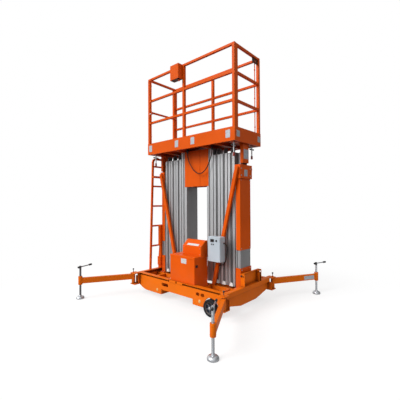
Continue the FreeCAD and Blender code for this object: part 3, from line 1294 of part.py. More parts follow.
def guards():
    # long panels on both sides, an end panel on the right, and an open end with a drop bar
    inner_y = "(%s - post_size - panel_gap)" % post_y
    # Columns: post name, x, y
    post_rows = [
        ("end_near", post_x, "-" + inner_y),
        ("entry_far", "-" + post_x, inner_y),
    ]
    top, low = rail_levels[0][1], rail_levels[1:]
    tops, mids, rods = [], [], []
    for label, sign, middle_post, rod_side in (("front", -1, "front_post", -1),
                                               ("back", 1, "back_post", 1)):
        y = "%d * %s" % (sign, post_y)
        spots = ("-" + post_x, middle_post, post_x)
        for spot_name, spot in zip(("left", "middle", "right"), spots):
            post_rows.append(("%s_%s" % (label, spot_name), spot, y))
        tops.append(bar("top_rail_" + label, ("0", y, top),
                        ("2 * %s + post_size" % post_x, "rail_size", "rail_size")))
        for level_name, level in low:
            for bay, before, after in ((1, *spots[:2]), (2, *spots[1:])):
                mids.append(box(
                    "mid_rail_%s_%s_%d" % (label, level_name, bay),
                    (before + " + post_size / 2", y + " - rail_size / 2",
                     level + " - rail_size / 2"),
                    (after + " - post_size / 2", y + " + rail_size / 2",
                     level + " + rail_size / 2")))
        rods.append(rod("lock_rod_" + label,
                        ("%d * drop_rod_at" % rod_side,
                         "%d * (%s + rail_size / 2 + drop_rod + plate_gap)" % (sign, post_y),
                         "deck_bottom + toe_height + plate_gap"),
                        "drop_rod",
                        "guard_top - deck_bottom - toe_height - plate_gap - drop_rod_drop"))
    reach = "(%s - rail_size / 2 - panel_gap)" % post_y
    for label, sign in sides:
        tops.append(bar("top_rail_" + label, ("%d * %s" % (sign, post_x), "0", top),
                        ("rail_size", "2 * " + reach, "rail_size")))
    for level_name, level in low:
        mids.append(box(
            "mid_rail_end_" + level_name,
            (post_x + " - rail_size / 2", "-%s + post_size / 2" % inner_y,
             level + " - rail_size / 2"),
            (post_x + " + rail_size / 2", post_y + " - post_size / 2 - panel_gap",
             level + " + rail_size / 2")))
    posts = [
        box("post_" + name, ("%s - post_size / 2" % x, "%s - post_size / 2" % y, floor_top),
            ("%s + post_size / 2" % x, "%s + post_size / 2" % y, "guard_top - rail_size"))
        for name, x, y in post_rows]
    keep(compound("guard_posts", posts + rods), "guard_posts")
    keep(compound("top_rails", tops), "top_rails")
    return keep(compound("mid_rails", mids), "mid_rails")


def entry():
    # drop bar that lifts about a pin on the far post and rests on a catch at the near one
    pivot_y = "(%s - post_size - panel_gap)" % post_y
    face = "(-%s + post_size / 2)" % post_x
    entry_x = "(%s + entry_gap + entry_size / 2)" % face
    pin = fused("entry_pin_set", [
        rod("entry_pin_rod", (face, pivot_y, "entry_level"), "entry_pin",
            "entry_gap + entry_size + entry_pin_past", "X"),
        rod("entry_pin_boss", (face, pivot_y, "entry_level"), "entry_head",
            "entry_gap - plate_gap", "X"),
        rod("entry_pin_head", (entry_x + " + entry_size / 2 + plate_gap", pivot_y, "entry_level"),
            "entry_head", "entry_cap", "X"),
    ])
    blank = box("entry_blank",
                (entry_x + " - entry_size / 2", "-%s" % post_y, "entry_level - entry_size / 2"),
                (entry_x + " + entry_size / 2", pivot_y + " + entry_tail",
                 "entry_level + entry_size / 2"))
    bore = rod("entry_bore", (face, pivot_y, "entry_level"), "entry_pin + pin_gap",
               "entry_gap + entry_size + cut_past", "X")
    keep(cut("entry_bar_solid", blank, bore), "entry_bar")
    rest_top = "entry_level - entry_size / 2 - guide_gap"
    rest = box("entry_rest",
               (face, "-%s - post_size / 2" % post_y, rest_top + " - catch_height"),
               (entry_x + " + entry_size / 2", "-%s + post_size / 2" % post_y, rest_top))
    return keep(compound("entry_fittings", [pin, rest]), "entry_fittings")


def carriage():
    # folded panels that tie the inner sections together below the platform
    panels = []
    height = "deck_bottom - carriage_bottom"
    level = "(carriage_bottom + deck_bottom) / 2"
    for label, sign in ends:
        face = "mast_middle + %d * (mast_depth / 2 + carriage_wall / 2)" % sign
        pieces = [bar("carriage_sheet_" + label, ("0", face, level),
                      ("2 * (mast_inner + carriage_lap)", "carriage_wall", height))]
        for side, step in sides:
            pieces.append(bar(
                "carriage_fold_%s_%s" % (label, side),
                ("%d * (mast_inner - carriage_wall / 2 - plate_gap)" % step,
                 "mast_middle + %d * (mast_depth / 2 + carriage_wall - carriage_fold / 2)" % sign,
                 level),
                ("carriage_wall", "carriage_fold", height)))
        if label == "front":
            front = "(%s - carriage_wall)" % mast_front
            pieces.append(box(
                "carriage_cover",
                ("-mast_inner - carriage_lap", front + " - carriage_wall", "carriage_bottom"),
                ("cover_edge", front, "deck_bottom - cover_drop")))
        panels.append(fused("carriage_panel_" + label, pieces))
    keep(compound("carriage_panels", panels), "carriage_panels")
    return keep(box("carriage_tie",
                    ("-mast_inner + carriage_wall + 2 * plate_gap", mast_front,
                     "deck_bottom - tie_height"),
                    ("mast_inner - carriage_wall - 2 * plate_gap", mast_back, "deck_bottom")),
                "carriage_tie")


def end_legs():
    legs = []
    for side, sign in sides:
        leg = bar("leg_" + side,
                  ("%d * (leg_outer - leg_width / 2)" % sign, "0", "(leg_bottom + deck_bottom) / 2"),
                  ("leg_width", "leg_depth", "deck_bottom - leg_bottom"))
        gusset = plate("leg_gusset_" + side, [[
            ("%d * (leg_outer - leg_width)" % sign, "deck_bottom"),
            ("%d * (leg_outer - leg_width - gusset_size)" % sign, "deck_bottom"),
            ("%d * (leg_outer - leg_width - gusset_bow)" % sign, "deck_bottom - gusset_bow",
             "via"),
            ("%d * (leg_outer - leg_width)" % sign, "deck_bottom - gusset_size")]],
            "leg_depth", "XZ")
        pad = bar("buffer_" + side,
                  ("%d * (leg_outer - leg_width + buffer_width / 2)" % sign, "0",
                   "(bracket_top + buffer_gap + leg_bottom) / 2"),
                  ("buffer_width", "buffer_depth", "leg_bottom - bracket_top - buffer_gap"))
        legs.append(fused("end_leg_" + side, [leg, gusset, pad]))
    return keep(compound("end_legs", legs), "end_legs")


def platform_clamps():
    screws = []
    for side, sign in sides:
        for label, step in ends:
            x, y = "%d * %s" % (sign, bearer_at % 2), "%d * clamp_y" % step
            tag = side + "_" + label
            screws.append(fused("clamp_" + tag, [
                rod("clamp_screw_" + tag, (x, y, "clamp_bottom"), "clamp_radius",
                    "deck_bottom - clamp_bottom"),
                rod("clamp_nut_" + tag, (x, y, "deck_bottom - clamp_nut_height"), "clamp_nut",
                    "clamp_nut_height"),
                rod("clamp_cross_" + tag, (x, y + " - clamp_bar / 2", "clamp_level"),
                    "clamp_bar_radius", "clamp_bar", "Y"),
                rod("clamp_tip_" + tag, (x, y, "clamp_bottom"), "clamp_tip", "clamp_tip_length"),
            ]))
    return keep(compound("platform_clamps", screws), "platform_clamps")


def platform_control():
    rail_face = "-(%s + rail_size / 2)" % post_y
    guard_face = "-(%s + post_size / 2)" % post_y
    pieces = [
        box("pendant_hanger",
            ("pendant_left + hanger_inset", guard_face, "guard_top - rail_size"),
            ("pendant_left + hanger_inset + hanger_width", rail_face, "pendant_top")),
        box("pendant_box",
            ("pendant_left", guard_face + " - pendant_depth", "pendant_top - pendant_height"),
            ("pendant_left + pendant_width", guard_face, "pendant_top")),
        rod("pendant_gland",
            ("pendant_left + pendant_width - pendant_gland_in",
             guard_face + " - pendant_depth / 2",
             "pendant_top - pendant_height - pendant_gland_drop"),
            "pendant_gland", "pendant_gland_drop + cut_past"),
    ]
    return keep(fused("platform_control", pieces), "platform_control")


def lanyard_plate():
    top = "guard_top - rail_size"
    blank = box("lanyard_blank",
                (post_x + " - eye_wall / 2", "eye_at - eye_length / 2", top + " - eye_height"),
                (post_x + " + eye_wall / 2", "eye_at + eye_length / 2", top))
    hole = rod("lanyard_hole", (post_x + " - eye_wall", "eye_at", top + " - eye_height / 2 - eye_drop"),
               "eye_radius", "2 * eye_wall", "X")
    return keep(cut("lanyard_plate", blank, hole), "lanyard_plate")


def tube_along(name, route, radius):
    # straight runs joined by tangent arcs, each arc as large as its two runs allow
    spots = [FreeCAD.Vector(*point) for point in route]
    edges, at, radii = [], spots[0], []
    for before, corner, after in zip(spots, spots[1:], spots[2:]):
        incoming = (corner - before).normalize()
        outgoing = (after - corner).normalize()
        turn = incoming.getAngle(outgoing)
        shorter = min((corner - before).Length, (after - corner).Length)
        cut_back = 0.45 * shorter
        bend = cut_back / math.tan(turn / 2)
        start, end = corner - incoming * cut_back, corner + outgoing * cut_back
        inward = (outgoing - incoming).normalize()
        middle = corner + inward * (bend / math.cos(turn / 2) - bend)
        edges.append(Part.LineSegment(at, start).toShape())
        edges.append(Part.Arc(start, middle, end).toShape())
        at = end
        radii.append(bend)
    edges.append(Part.LineSegment(at, spots[-1]).toShape())
    path = Part.Wire(edges)
    circle = Part.Wire([Part.Circle(spots[0], spots[1] - spots[0], radius).toShape()])
    shape = path.makePipeShell([circle], True, True)
    expected = math.pi * radius ** 2 * path.Length
    print("%s: length %.0f mm, tightest radius %.0f mm, volume ratio %.4f"
          % (name, path.Length, min(radii), shape.Volume / expected))
    solid = document.addObject("Part::Feature", name)
    solid.Shape = shape
    return solid


# Route of the hanging cable: x, y, z of each point
hanging_route = (
    (-130, -118, 2000), (-130, -118, 1960), (-103, -119, 1884), (-62, -121, 1815),
    (-16, -123, 1761), (37, -125, 1719), (96, -126, 1697), (155, -126, 1706),
    (205, -125, 1742), (245, -123, 1792), (276, -121, 1851), (300, -119, 1912),
    (315, -118, 1968), (315, -118, 2000),
)
# Route of the control box lead: x, y, z of each point
lead_route = (
    (556.6, -190, 806), (582, -190, 803), (601, -190, 776), (604, -190, 730), (600, -189, 680),
    (592, -187, 634), (580, -184, 590), (556, -178, 556), (522, -165, 536), (484, -147, 522),
    (448, -124, 512), (420.4, -114, 508),
)


def cables():
    keep(tube_along("hanging_cable", hanging_route, number("cable_radius")), "hanging_cable")
    glands = [
        rod("gland_" + label, (x, y, "gland_bottom"), "gland_radius",
            "deck_bottom + deck_frame - gland_bottom")
        for label, (x, y, z) in (("left", hanging_route[0]), ("right", hanging_route[-1]))]
    keep(compound("cable_glands", glands), "cable_glands")
    keep(tube_along("control_lead", lead_route, number("lead_radius")), "control_lead")


base_rims()
base_beams()
fork_tunnel()
keep(compound("base_skirts", side_skirts() + end_skirts()), "base_skirts")
corner_brackets()
keep(compound("wheel_brackets", wheel_mounts() + castors()), "wheel_brackets")
wheels()
arms()
jacks()
masts()
for stage in (1, 2, 3):
    chains(stage)
mast_covers()
braces()
ladder()
ladder_support()
power_unit()
control_console()
control_box()
tow_bracket()
platform_deck()
toe_boards()
guards()
entry()
carriage()
end_legs()
platform_clamps()
platform_control()
lanyard_plate()
cables()

document.recompute()
faults = [item.Name for item in document.Objects
          if "Invalid" in item.State or "Error" in item.State]
for solid in sub_parts:
    if solid.Shape.isNull() or not solid.Shape.isValid():
        faults.append(solid.Label)
if faults:
    raise RuntimeError("failed objects: " + ", ".join(faults))
os.makedirs("parts", exist_ok=True)
for solid in sub_parts:
    solid.Shape.exportStep("parts/%s.step" % solid.Label)
print("%d sub-parts, %.4f cubic metres" % (
    len(sub_parts), sum(solid.Shape.Volume for solid in sub_parts) / 1e9))
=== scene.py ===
import math
import json
import bmesh
import bpy
import numpy as np
from mathutils import Matrix, Vector


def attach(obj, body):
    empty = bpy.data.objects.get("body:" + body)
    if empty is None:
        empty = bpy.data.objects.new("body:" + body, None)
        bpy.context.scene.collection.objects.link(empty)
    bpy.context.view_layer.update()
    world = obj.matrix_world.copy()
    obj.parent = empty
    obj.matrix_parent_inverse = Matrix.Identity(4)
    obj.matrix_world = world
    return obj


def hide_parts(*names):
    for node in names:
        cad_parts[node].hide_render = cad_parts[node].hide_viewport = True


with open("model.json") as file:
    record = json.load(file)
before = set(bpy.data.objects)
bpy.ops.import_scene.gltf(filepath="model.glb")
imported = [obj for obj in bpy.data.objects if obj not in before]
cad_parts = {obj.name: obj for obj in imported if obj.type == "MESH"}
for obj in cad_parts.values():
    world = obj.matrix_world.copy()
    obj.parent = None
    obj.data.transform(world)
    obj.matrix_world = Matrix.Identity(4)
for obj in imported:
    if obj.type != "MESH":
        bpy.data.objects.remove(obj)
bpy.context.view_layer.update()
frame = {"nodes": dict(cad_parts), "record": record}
scene = bpy.context.scene
scene.view_settings.view_transform = "Standard"
print("frame loaded")

# camera

cameraValues = {
    "place": (2.739, -3.059, 1.319),
    "yaw": -0.731,
    "pitch": 0.011,
    "roll": -0.005,
    "lens": 26.281,
    "shiftUp": -0.0037,
}


def makeCamera(values):
    # the view direction from yaw and pitch, then the right and up directions rolled about it
    yaw, pitch, roll = values["yaw"], values["pitch"], values["roll"]
    forward = Vector((math.sin(yaw) * math.cos(pitch), math.cos(yaw) * math.cos(pitch), math.sin(pitch)))
    level = Vector((math.cos(yaw), -math.sin(yaw), 0))
    upright = level.cross(forward)
    right = level * math.cos(roll) + upright * math.sin(roll)
    up = upright * math.cos(roll) - level * math.sin(roll)
    camera = bpy.data.objects.new("camera", bpy.data.cameras.new("camera"))
    camera.data.sensor_width = 36
    camera.data.lens = values["lens"]
    camera.data.shift_y = values["shiftUp"]
    camera.data.clip_end = 60
    turn = Matrix((right, up, -forward)).transposed().to_4x4()
    camera.matrix_world = Matrix.Translation(values["place"]) @ turn
    scene.collection.objects.link(camera)
    scene.camera = camera


makeCamera(cameraValues)
print("camera set")

# node helpers


def addNode(tree, kind, **settings):
    node = tree.nodes.new(kind)
    for name, value in settings.items():
        setattr(node, name, value)
    return node


def feed(tree, node, values):
    # each value is a plain number or colour, or an output to link
    for name, value in values.items():
        if isinstance(value, bpy.types.NodeSocket):
            tree.links.new(value, node.inputs[name])
        else:
            node.inputs[name].default_value = value


def mathNode(tree, operation, *values):
    node = addNode(tree, "ShaderNodeMath", operation=operation)
    for index, value in enumerate(values):
        feed(tree, node, {index: value})
    return node.outputs[0]


def spread(tree, value, low, high, toLow=0.0, toHigh=1.0):
    node = addNode(tree, "ShaderNodeMapRange")
    feed(tree, node, {"Value": value, "From Min": low, "From Max": high, "To Min": toLow, "To Max": toHigh})
    return node.outputs["Result"]


def objectSpot(tree):
    return addNode(tree, "ShaderNodeTexCoord").outputs["Object"]


def noise(tree, vector, scale, detail=2.0, roughness=0.5):
    node = addNode(tree, "ShaderNodeTexNoise")
    feed(tree, node, {"Vector": vector, "Scale": scale, "Detail": detail, "Roughness": roughness})
    return node.outputs["Fac"]


def mixColour(tree, share, first, second, blend="MIX"):
    node = addNode(tree, "ShaderNodeMix", data_type="RGBA", blend_type=blend)
    for index, value in ((0, share), (6, first), (7, second)):
        if isinstance(value, bpy.types.NodeSocket):
            tree.links.new(value, node.inputs[index])
        else:
            node.inputs[index].default_value = value
    return node.outputs[2]


def newGroup(name, inputs, outputs):
    tree = bpy.data.node_groups.new(name, "ShaderNodeTree")
    for label, kind, value in inputs:
        socket = tree.interface.new_socket(name=label, in_out="INPUT", socket_type="NodeSocket" + kind)
        socket.default_value = value
    for label, kind in outputs:
        tree.interface.new_socket(name=label, in_out="OUTPUT", socket_type="NodeSocket" + kind)
    return tree, addNode(tree, "NodeGroupInput"), addNode(tree, "NodeGroupOutput")


def makeCoatGroup():
    # sprayed paint: cloudy tone, orange peel height, dust that thickens towards the floor
    tree, start, end = newGroup(
        "sprayedCoat",
        [("Peel Scale", "Float", 260.0), ("Cloud Scale", "Float", 3.0), ("Dust Height", "Float", 0.4)],
        [("Tone", "Float"), ("Dust", "Float"), ("Height", "Float")])
    spot = objectSpot(tree)
    tone = noise(tree, spot, start.outputs["Cloud Scale"], 4.0, 0.6)
    height = noise(tree, spot, start.outputs["Peel Scale"], 1.0)
    apart = addNode(tree, "ShaderNodeSeparateXYZ")
    tree.links.new(spot, apart.inputs[0])
    low = mathNode(tree, "DIVIDE", apart.outputs["Z"], start.outputs["Dust Height"])
    low = spread(tree, low, 0.0, 1.0, 1.0, 0.0)
    patch = spread(tree, noise(tree, spot, 9.0, 6.0, 0.65), 0.38, 0.72)
    up = addNode(tree, "ShaderNodeSeparateXYZ")
    tree.links.new(addNode(tree, "ShaderNodeNewGeometry").outputs["Normal"], up.inputs[0])
    flat = spread(tree, up.outputs["Z"], 0.2, 1.0, 0.35, 1.0)
    dust = mathNode(tree, "MULTIPLY", mathNode(tree, "MULTIPLY", low, patch), flat)
    for name, value in (("Tone", tone), ("Dust", dust), ("Height", height)):
        tree.links.new(value, end.inputs[name])
    return tree


def makeEdgeWearHighlightGroup():
    # edges: where a softened normal leaves the true one, broken up by noise; worn paint on painted steel, and on
    # metal and plastic wear together with a painted edge highlight
    tree, start, end = newGroup(
        "edgeWearAndHighlight", [("Radius", "Float", 0.003), ("Amount", "Float", 0.5)],
        [("Edge", "Float"), ("Scratch", "Float")])
    soft = addNode(tree, "ShaderNodeBevel", samples=4)
    tree.links.new(start.outputs["Radius"], soft.inputs["Radius"])
    dot = addNode(tree, "ShaderNodeVectorMath", operation="DOT_PRODUCT")
    tree.links.new(soft.outputs[0], dot.inputs[0])
    tree.links.new(addNode(tree, "ShaderNodeNewGeometry").outputs["Normal"], dot.inputs[1])
    spot = objectSpot(tree)
    edge = spread(tree, dot.outputs["Value"], 0.995, 0.9)
    broken = spread(tree, noise(tree, spot, 40.0, 5.0, 0.7), 0.45, 0.62)
    worn = mathNode(tree, "MULTIPLY", mathNode(tree, "MULTIPLY", edge, broken), start.outputs["Amount"])
    stretch = addNode(tree, "ShaderNodeMapping")
    stretch.inputs["Rotation"].default_value = (0.4, 0.3, 0.7)
    stretch.inputs["Scale"].default_value = (14.0, 90.0, 60.0)
    tree.links.new(spot, stretch.inputs["Vector"])
    scratch = spread(tree, noise(tree, stretch.outputs[0], 1.0, 3.0, 0.6), 0.70, 0.78)
    tree.links.new(worn, end.inputs["Edge"])
    tree.links.new(scratch, end.inputs["Scratch"])
    return tree


def makeBrushGroup():
    # drawn metal: fine streaks along Z, cloudy oxide
    tree, start, end = newGroup(
        "drawnMetal", [("Across", "Float", 320.0), ("Along", "Float", 1.5)],
        [("Streak", "Float"), ("Oxide", "Float")])
    spot = objectSpot(tree)
    joined = addNode(tree, "ShaderNodeCombineXYZ")
    for name, source in (("X", "Across"), ("Y", "Across"), ("Z", "Along")):
        tree.links.new(start.outputs[source], joined.inputs[name])
    grown = addNode(tree, "ShaderNodeVectorMath", operation="MULTIPLY")
    tree.links.new(spot, grown.inputs[0])
    tree.links.new(joined.outputs[0], grown.inputs[1])
    tree.links.new(noise(tree, grown.outputs[0], 1.0, 3.0, 0.6), end.inputs["Streak"])
    tree.links.new(noise(tree, spot, 6.0, 5.0, 0.6), end.inputs["Oxide"])
    return tree


coatGroup = makeCoatGroup()
edgeWearHighlightGroup = makeEdgeWearHighlightGroup()
brushGroup = makeBrushGroup()


def groupNode(tree, group, **values):
    node = addNode(tree, "ShaderNodeGroup", node_tree=group)
    for name, value in values.items():
        node.inputs[name].default_value = value
    return node.outputs


def startMaterial(name):
    material = bpy.data.materials.new(name)
    material.use_nodes = True
    tree = material.node_tree
    tree.nodes.clear()
    shader = addNode(tree, "ShaderNodeBsdfPrincipled")
    out = addNode(tree, "ShaderNodeOutputMaterial")
    tree.links.new(shader.outputs[0], out.inputs["Surface"])
    return material, tree, shader


def bumpFrom(tree, height, strength, distance):
    node = addNode(tree, "ShaderNodeBump")
    feed(tree, node, {"Height": height, "Strength": strength, "Distance": distance})
    return node.outputs[0]


def shade(colour, factor):
    return tuple(part * factor for part in colour[:3]) + (1.0,)


# recess, shaded and open set how the painted shade is taken from ambient occlusion
paintLook = {"recess": 0.14, "shaded": 0.35, "open": 0.85, "wear": 0.45, "scratches": 0.12, "peel": 0.06,
             "peelDepth": 0.0006, "gloss": 0.08, "coat": 0.03, "coatRough": 0.25,
             "dustColour": (0.33, 0.27, 0.21, 1)}


def paintMaterial(name, colour, rough=0.34, wearColour=(0.42, 0.10, 0.02, 1), dustHeight=0.4, dustShare=0.5,
                  paintedShadeShare=0.3):
    # sprayed steel: cloudy tone, dust, worn edges, scratches, and painted shade darkening the recesses
    material, tree, shader = startMaterial(name)
    # painted shade: ambient occlusion darkens the colour in recesses and under parts, standing in for the shade
    # there
    recess = addNode(tree, "ShaderNodeAmbientOcclusion", samples=8)
    recess.inputs["Distance"].default_value = paintLook["recess"]
    paintedShade = spread(tree, recess.outputs["AO"], paintLook["shaded"], paintLook["open"], paintedShadeShare, 0.0)
    coat = groupNode(tree, coatGroup, **{"Dust Height": dustHeight})
    wear = groupNode(tree, edgeWearHighlightGroup, Amount=paintLook["wear"])
    tone = mixColour(tree, spread(tree, coat["Tone"], 0.3, 0.7), shade(colour, 0.93), shade(colour, 1.05))
    dusty = mixColour(tree, mathNode(tree, "MULTIPLY", coat["Dust"], dustShare), tone, paintLook["dustColour"])
    worn = mixColour(tree, wear["Edge"], dusty, wearColour)
    scratches = mathNode(tree, "MULTIPLY", wear["Scratch"], paintLook["scratches"])
    scratched = mixColour(tree, scratches, worn, shade(colour, 1.25))
    recessShaded = mixColour(tree, paintedShade, scratched, shade(wearColour, 0.22))
    rougher = mathNode(tree, "MULTIPLY", coat["Dust"], 0.4)
    clean = spread(tree, coat["Tone"], 0.3, 0.7, rough - 0.05, rough + 0.08)
    feed(tree, shader, {
        "Base Color": recessShaded,
        "Roughness": mathNode(tree, "ADD", clean, rougher),
        "Normal": bumpFrom(tree, coat["Height"], paintLook["peel"], paintLook["peelDepth"]),
        "Specular IOR Level": paintLook["gloss"],
        "Coat Weight": paintLook["coat"],
        "Coat Roughness": paintLook["coatRough"],
    })
    return material


def metalMaterial(name, colour, rough=0.35, metallic=0.9, across=320.0, along=1.5, contrast=0.18):
    # drawn or plated metal: streaks, oxide clouds, and brighter edges that are partly wear and partly painted
    # highlight
    material, tree, shader = startMaterial(name)
    brush = groupNode(tree, brushGroup, Across=across, Along=along)
    wear = groupNode(tree, edgeWearHighlightGroup, Radius=0.002, Amount=0.5)
    streak = mixColour(tree, spread(tree, brush["Streak"], 0.25, 0.75), shade(colour, 1 - contrast),
                       shade(colour, 1 + contrast))
    oxide = mixColour(tree, spread(tree, brush["Oxide"], 0.4, 0.8, 0.0, 0.35), streak, shade(colour, 0.7))
    edgeHighlighted = mixColour(tree, wear["Edge"], oxide, shade(colour, 1.35))
    feed(tree, shader, {
        "Base Color": edgeHighlighted,
        "Metallic": metallic,
        "Roughness": spread(tree, brush["Oxide"], 0.3, 0.8, rough - 0.06, rough + 0.14),
        "Normal": bumpFrom(tree, brush["Streak"], 0.08, 0.0004),
    })
    return material


def mastMaterial(name, colour, shadedSideColour):
    # anodised extrusion: drawn streaks on the faces, and the sides facing along X painted darker as shade, streaked
    # and broken up by noise
    material, tree, shader = startMaterial(name)
    brush = groupNode(tree, brushGroup, Across=420.0, Along=1.2)
    wear = groupNode(tree, edgeWearHighlightGroup, Radius=0.0015, Amount=0.4)
    apart = addNode(tree, "ShaderNodeSeparateXYZ")
    tree.links.new(addNode(tree, "ShaderNodeTexCoord").outputs["Normal"], apart.inputs[0])
    # painted shade: faces turned along X take the darker side colour, for the shade the sides are in
    side = spread(tree, mathNode(tree, "ABSOLUTE", apart.outputs["X"]), 0.6, 0.9)
    shadeBreakup = spread(tree, brush["Oxide"], 0.3, 0.7, 0.75, 1.0)
    face = mixColour(tree, spread(tree, brush["Streak"], 0.25, 0.75), shade(colour, 0.84), shade(colour, 1.14))
    shadedSide = mixColour(tree, spread(tree, brush["Streak"], 0.3, 0.8), shade(shadedSideColour, 0.8), shade(shadedSideColour, 1.3))
    both = mixColour(tree, mathNode(tree, "MULTIPLY", side, shadeBreakup), face, shadedSide)
    oxide = mixColour(tree, spread(tree, brush["Oxide"], 0.4, 0.8, 0.0, 0.3), both, shade(shadedSideColour, 1.6))
    feed(tree, shader, {
        # brighter edges, partly wear and partly painted highlight
        "Base Color": mixColour(tree, wear["Edge"], oxide, shade(colour, 1.3)),
        "Metallic": 0.7,
        "Roughness": spread(tree, brush["Oxide"], 0.3, 0.8, 0.36, 0.54),
        "Normal": bumpFrom(tree, brush["Streak"], 0.08, 0.0004),
    })
    return material


def plasticMaterial(name, colour, rough=0.45, grainScale=600.0, dustShare=0.3, gloss=0.5):
    # moulded plastic or rubber: fine grain, dust, and paler edges that are partly wear and partly painted highlight
    material, tree, shader = startMaterial(name)
    coat = groupNode(tree, coatGroup, **{"Peel Scale": grainScale, "Cloud Scale": 12.0, "Dust Height": 0.6})
    wear = groupNode(tree, edgeWearHighlightGroup, Radius=0.0015, Amount=0.4)
    tone = mixColour(tree, spread(tree, coat["Tone"], 0.3, 0.7), shade(colour, 0.85), shade(colour, 1.15))
    dusty = mixColour(tree, mathNode(tree, "MULTIPLY", coat["Dust"], dustShare), tone, (0.25, 0.22, 0.19, 1))
    paleEdgeHighlight = mixColour(tree, wear["Edge"], dusty, tuple(min(1.0, part * 1.8 + 0.02) for part in colour[:3]) + (1.0,))
    feed(tree, shader, {
        "Base Color": paleEdgeHighlight,
        "Roughness": spread(tree, coat["Tone"], 0.2, 0.8, rough - 0.06, rough + 0.1),
        "Normal": bumpFrom(tree, coat["Height"], 0.15, 0.0003),
        "Specular IOR Level": gloss,
    })
    return material


def reflectorMaterial(name, colour):
    # honeycomb film: voronoi cells with brighter faces than borders
    material, tree, shader = startMaterial(name)
    spot = objectSpot(tree)
    cells = addNode(tree, "ShaderNodeTexVoronoi", feature="DISTANCE_TO_EDGE")
    feed(tree, cells, {"Vector": spot, "Scale": 220.0})
    border = spread(tree, cells.outputs["Distance"], 0.02, 0.12)
    cloud = noise(tree, spot, 14.0, 4.0)
    film = mixColour(tree, border, shade(colour, 0.8), colour)
    feed(tree, shader, {
        "Base Color": mixColour(tree, spread(tree, cloud, 0.35, 0.7, 0.0, 0.3), film, shade(colour, 0.75)),
        "Roughness": spread(tree, cloud, 0.3, 0.7, 0.2, 0.4),
        "Metallic": 0.15,
        "Normal": bumpFrom(tree, border, 0.15, 0.0003),
        "Coat Weight": 0.4,
    })
    return material


def treadMaterial(name, colour):
    # the painted floor sheet, scuffed where feet go
    material, tree, shader = startMaterial(name)
    coat = groupNode(tree, coatGroup, **{"Dust Height": 9.0})
    spot = objectSpot(tree)
    scuff = spread(tree, noise(tree, spot, 11.0, 6.0, 0.7), 0.5, 0.75, 0.0, 0.7)
    tone = mixColour(tree, spread(tree, coat["Tone"], 0.3, 0.7), shade(colour, 0.85), shade(colour, 1.05))
    feed(tree, shader, {
        "Base Color": mixColour(tree, scuff, tone, (0.2, 0.17, 0.15, 1)),
        "Roughness": spread(tree, scuff, 0.0, 0.7, 0.45, 0.75),
        "Normal": bumpFrom(tree, coat["Height"], 0.1, 0.0005),
    })
    return material


orange = paintMaterial("orangePaint", (0.85, 0.113, 0.004, 1), dustHeight=0.55)
# the base paint takes a stronger painted shade in its recesses
baseOrange = paintMaterial("basePaint", (0.89, 0.175, 0.005, 1), rough=0.38, dustHeight=0.3, dustShare=0.3,
                           paintedShadeShare=0.8)
greyPaint = paintMaterial("greyPaint", (0.55, 0.62, 0.68, 1), rough=0.4, wearColour=(0.3, 0.3, 0.3, 1),
                          dustShare=0.2)
# the second colour is the painted shade of the mast sides
aluminium = mastMaterial("mastAluminium", (0.54, 0.55, 0.56, 1), (0.30, 0.30, 0.305, 1))
chainSteel = metalMaterial("oiledChain", (0.16, 0.16, 0.163, 1), rough=0.42, metallic=0.5, across=90.0, along=90.0)
zincSteel = metalMaterial("zincSteel", (0.55, 0.56, 0.58, 1), rough=0.3, metallic=0.9, across=120.0, along=60.0)
brightSteel = metalMaterial("brightSteel", (0.62, 0.64, 0.67, 1), rough=0.26, metallic=0.85, across=60.0,
                            along=240.0, contrast=0.1)
darkSteel = metalMaterial("darkSteel", (0.12, 0.12, 0.125, 1), rough=0.4, metallic=0.8, across=80.0, along=80.0)
blackPlastic = plasticMaterial("blackPlastic", (0.012, 0.012, 0.013, 1), rough=0.36)
blackRubber = plasticMaterial("blackRubber", (0.018, 0.015, 0.014, 1), rough=0.6, grainScale=900.0, gloss=0.2)
tyreRubber = plasticMaterial("tyreRubber", (0.010, 0.012, 0.017, 1), rough=0.6, grainScale=500.0, dustShare=0.15,
                             gloss=0.15)
hubPlastic = plasticMaterial("hubPlastic", (0.008, 0.012, 0.024, 1), rough=0.4, dustShare=0.1, gloss=0.25)
whiteNylon = plasticMaterial("whiteNylon", (0.75, 0.75, 0.72, 1), rough=0.5, dustShare=0.15)
redGrip = plasticMaterial("redGrip", (0.30, 0.03, 0.02, 1), rough=0.45)
plateFilm = reflectorMaterial("plateFilm", (0.56, 0.60, 0.66, 1))
whitePlate = reflectorMaterial("whitePlate", (0.80, 0.80, 0.80, 1))
amberDisc = reflectorMaterial("amberDisc", (0.96, 0.54, 0.19, 1))
floorPaint = treadMaterial("floorPaint", (0.62, 0.09, 0.015, 1))
hubRim = plasticMaterial("hubRim", (0.07, 0.040, 0.026, 1), rough=0.5, dustShare=0.3)
spokeGrey = plasticMaterial("spokeGrey", (0.13, 0.14, 0.16, 1), rough=0.45, dustShare=0.2, gloss=0.3)
jackZinc = metalMaterial("jackZinc", (0.56, 0.58, 0.61, 1), rough=0.26, metallic=0.9, across=40.0, along=200.0,
                         contrast=0.08)
jackDark = metalMaterial("jackDark", (0.16, 0.16, 0.165, 1), rough=0.4, metallic=0.7, across=40.0, along=200.0)
# painted shade: the lanyard plate gets a dark orange, the orange paint as it looks in shade
shadedOrangePlate = plasticMaterial("shadedOrangePlate", (0.11, 0.028, 0.008, 1), rough=0.6, dustShare=0.2)
displayGlass = plasticMaterial("displayGlass", (0.02, 0.012, 0.012, 1), rough=0.12, dustShare=0.0)

nodeMaterials = {
    "paint": orange,
    "paint_base": baseOrange,
    "grey_paint": greyPaint,
    "mast_aluminium": aluminium,
    "bright_steel": brightSteel,
    "steel": zincSteel,
    "black_steel": chainSteel,
    "black_plastic": blackPlastic,
    "black_rubber": blackRubber,
    "grey_tyre": tyreRubber,
}
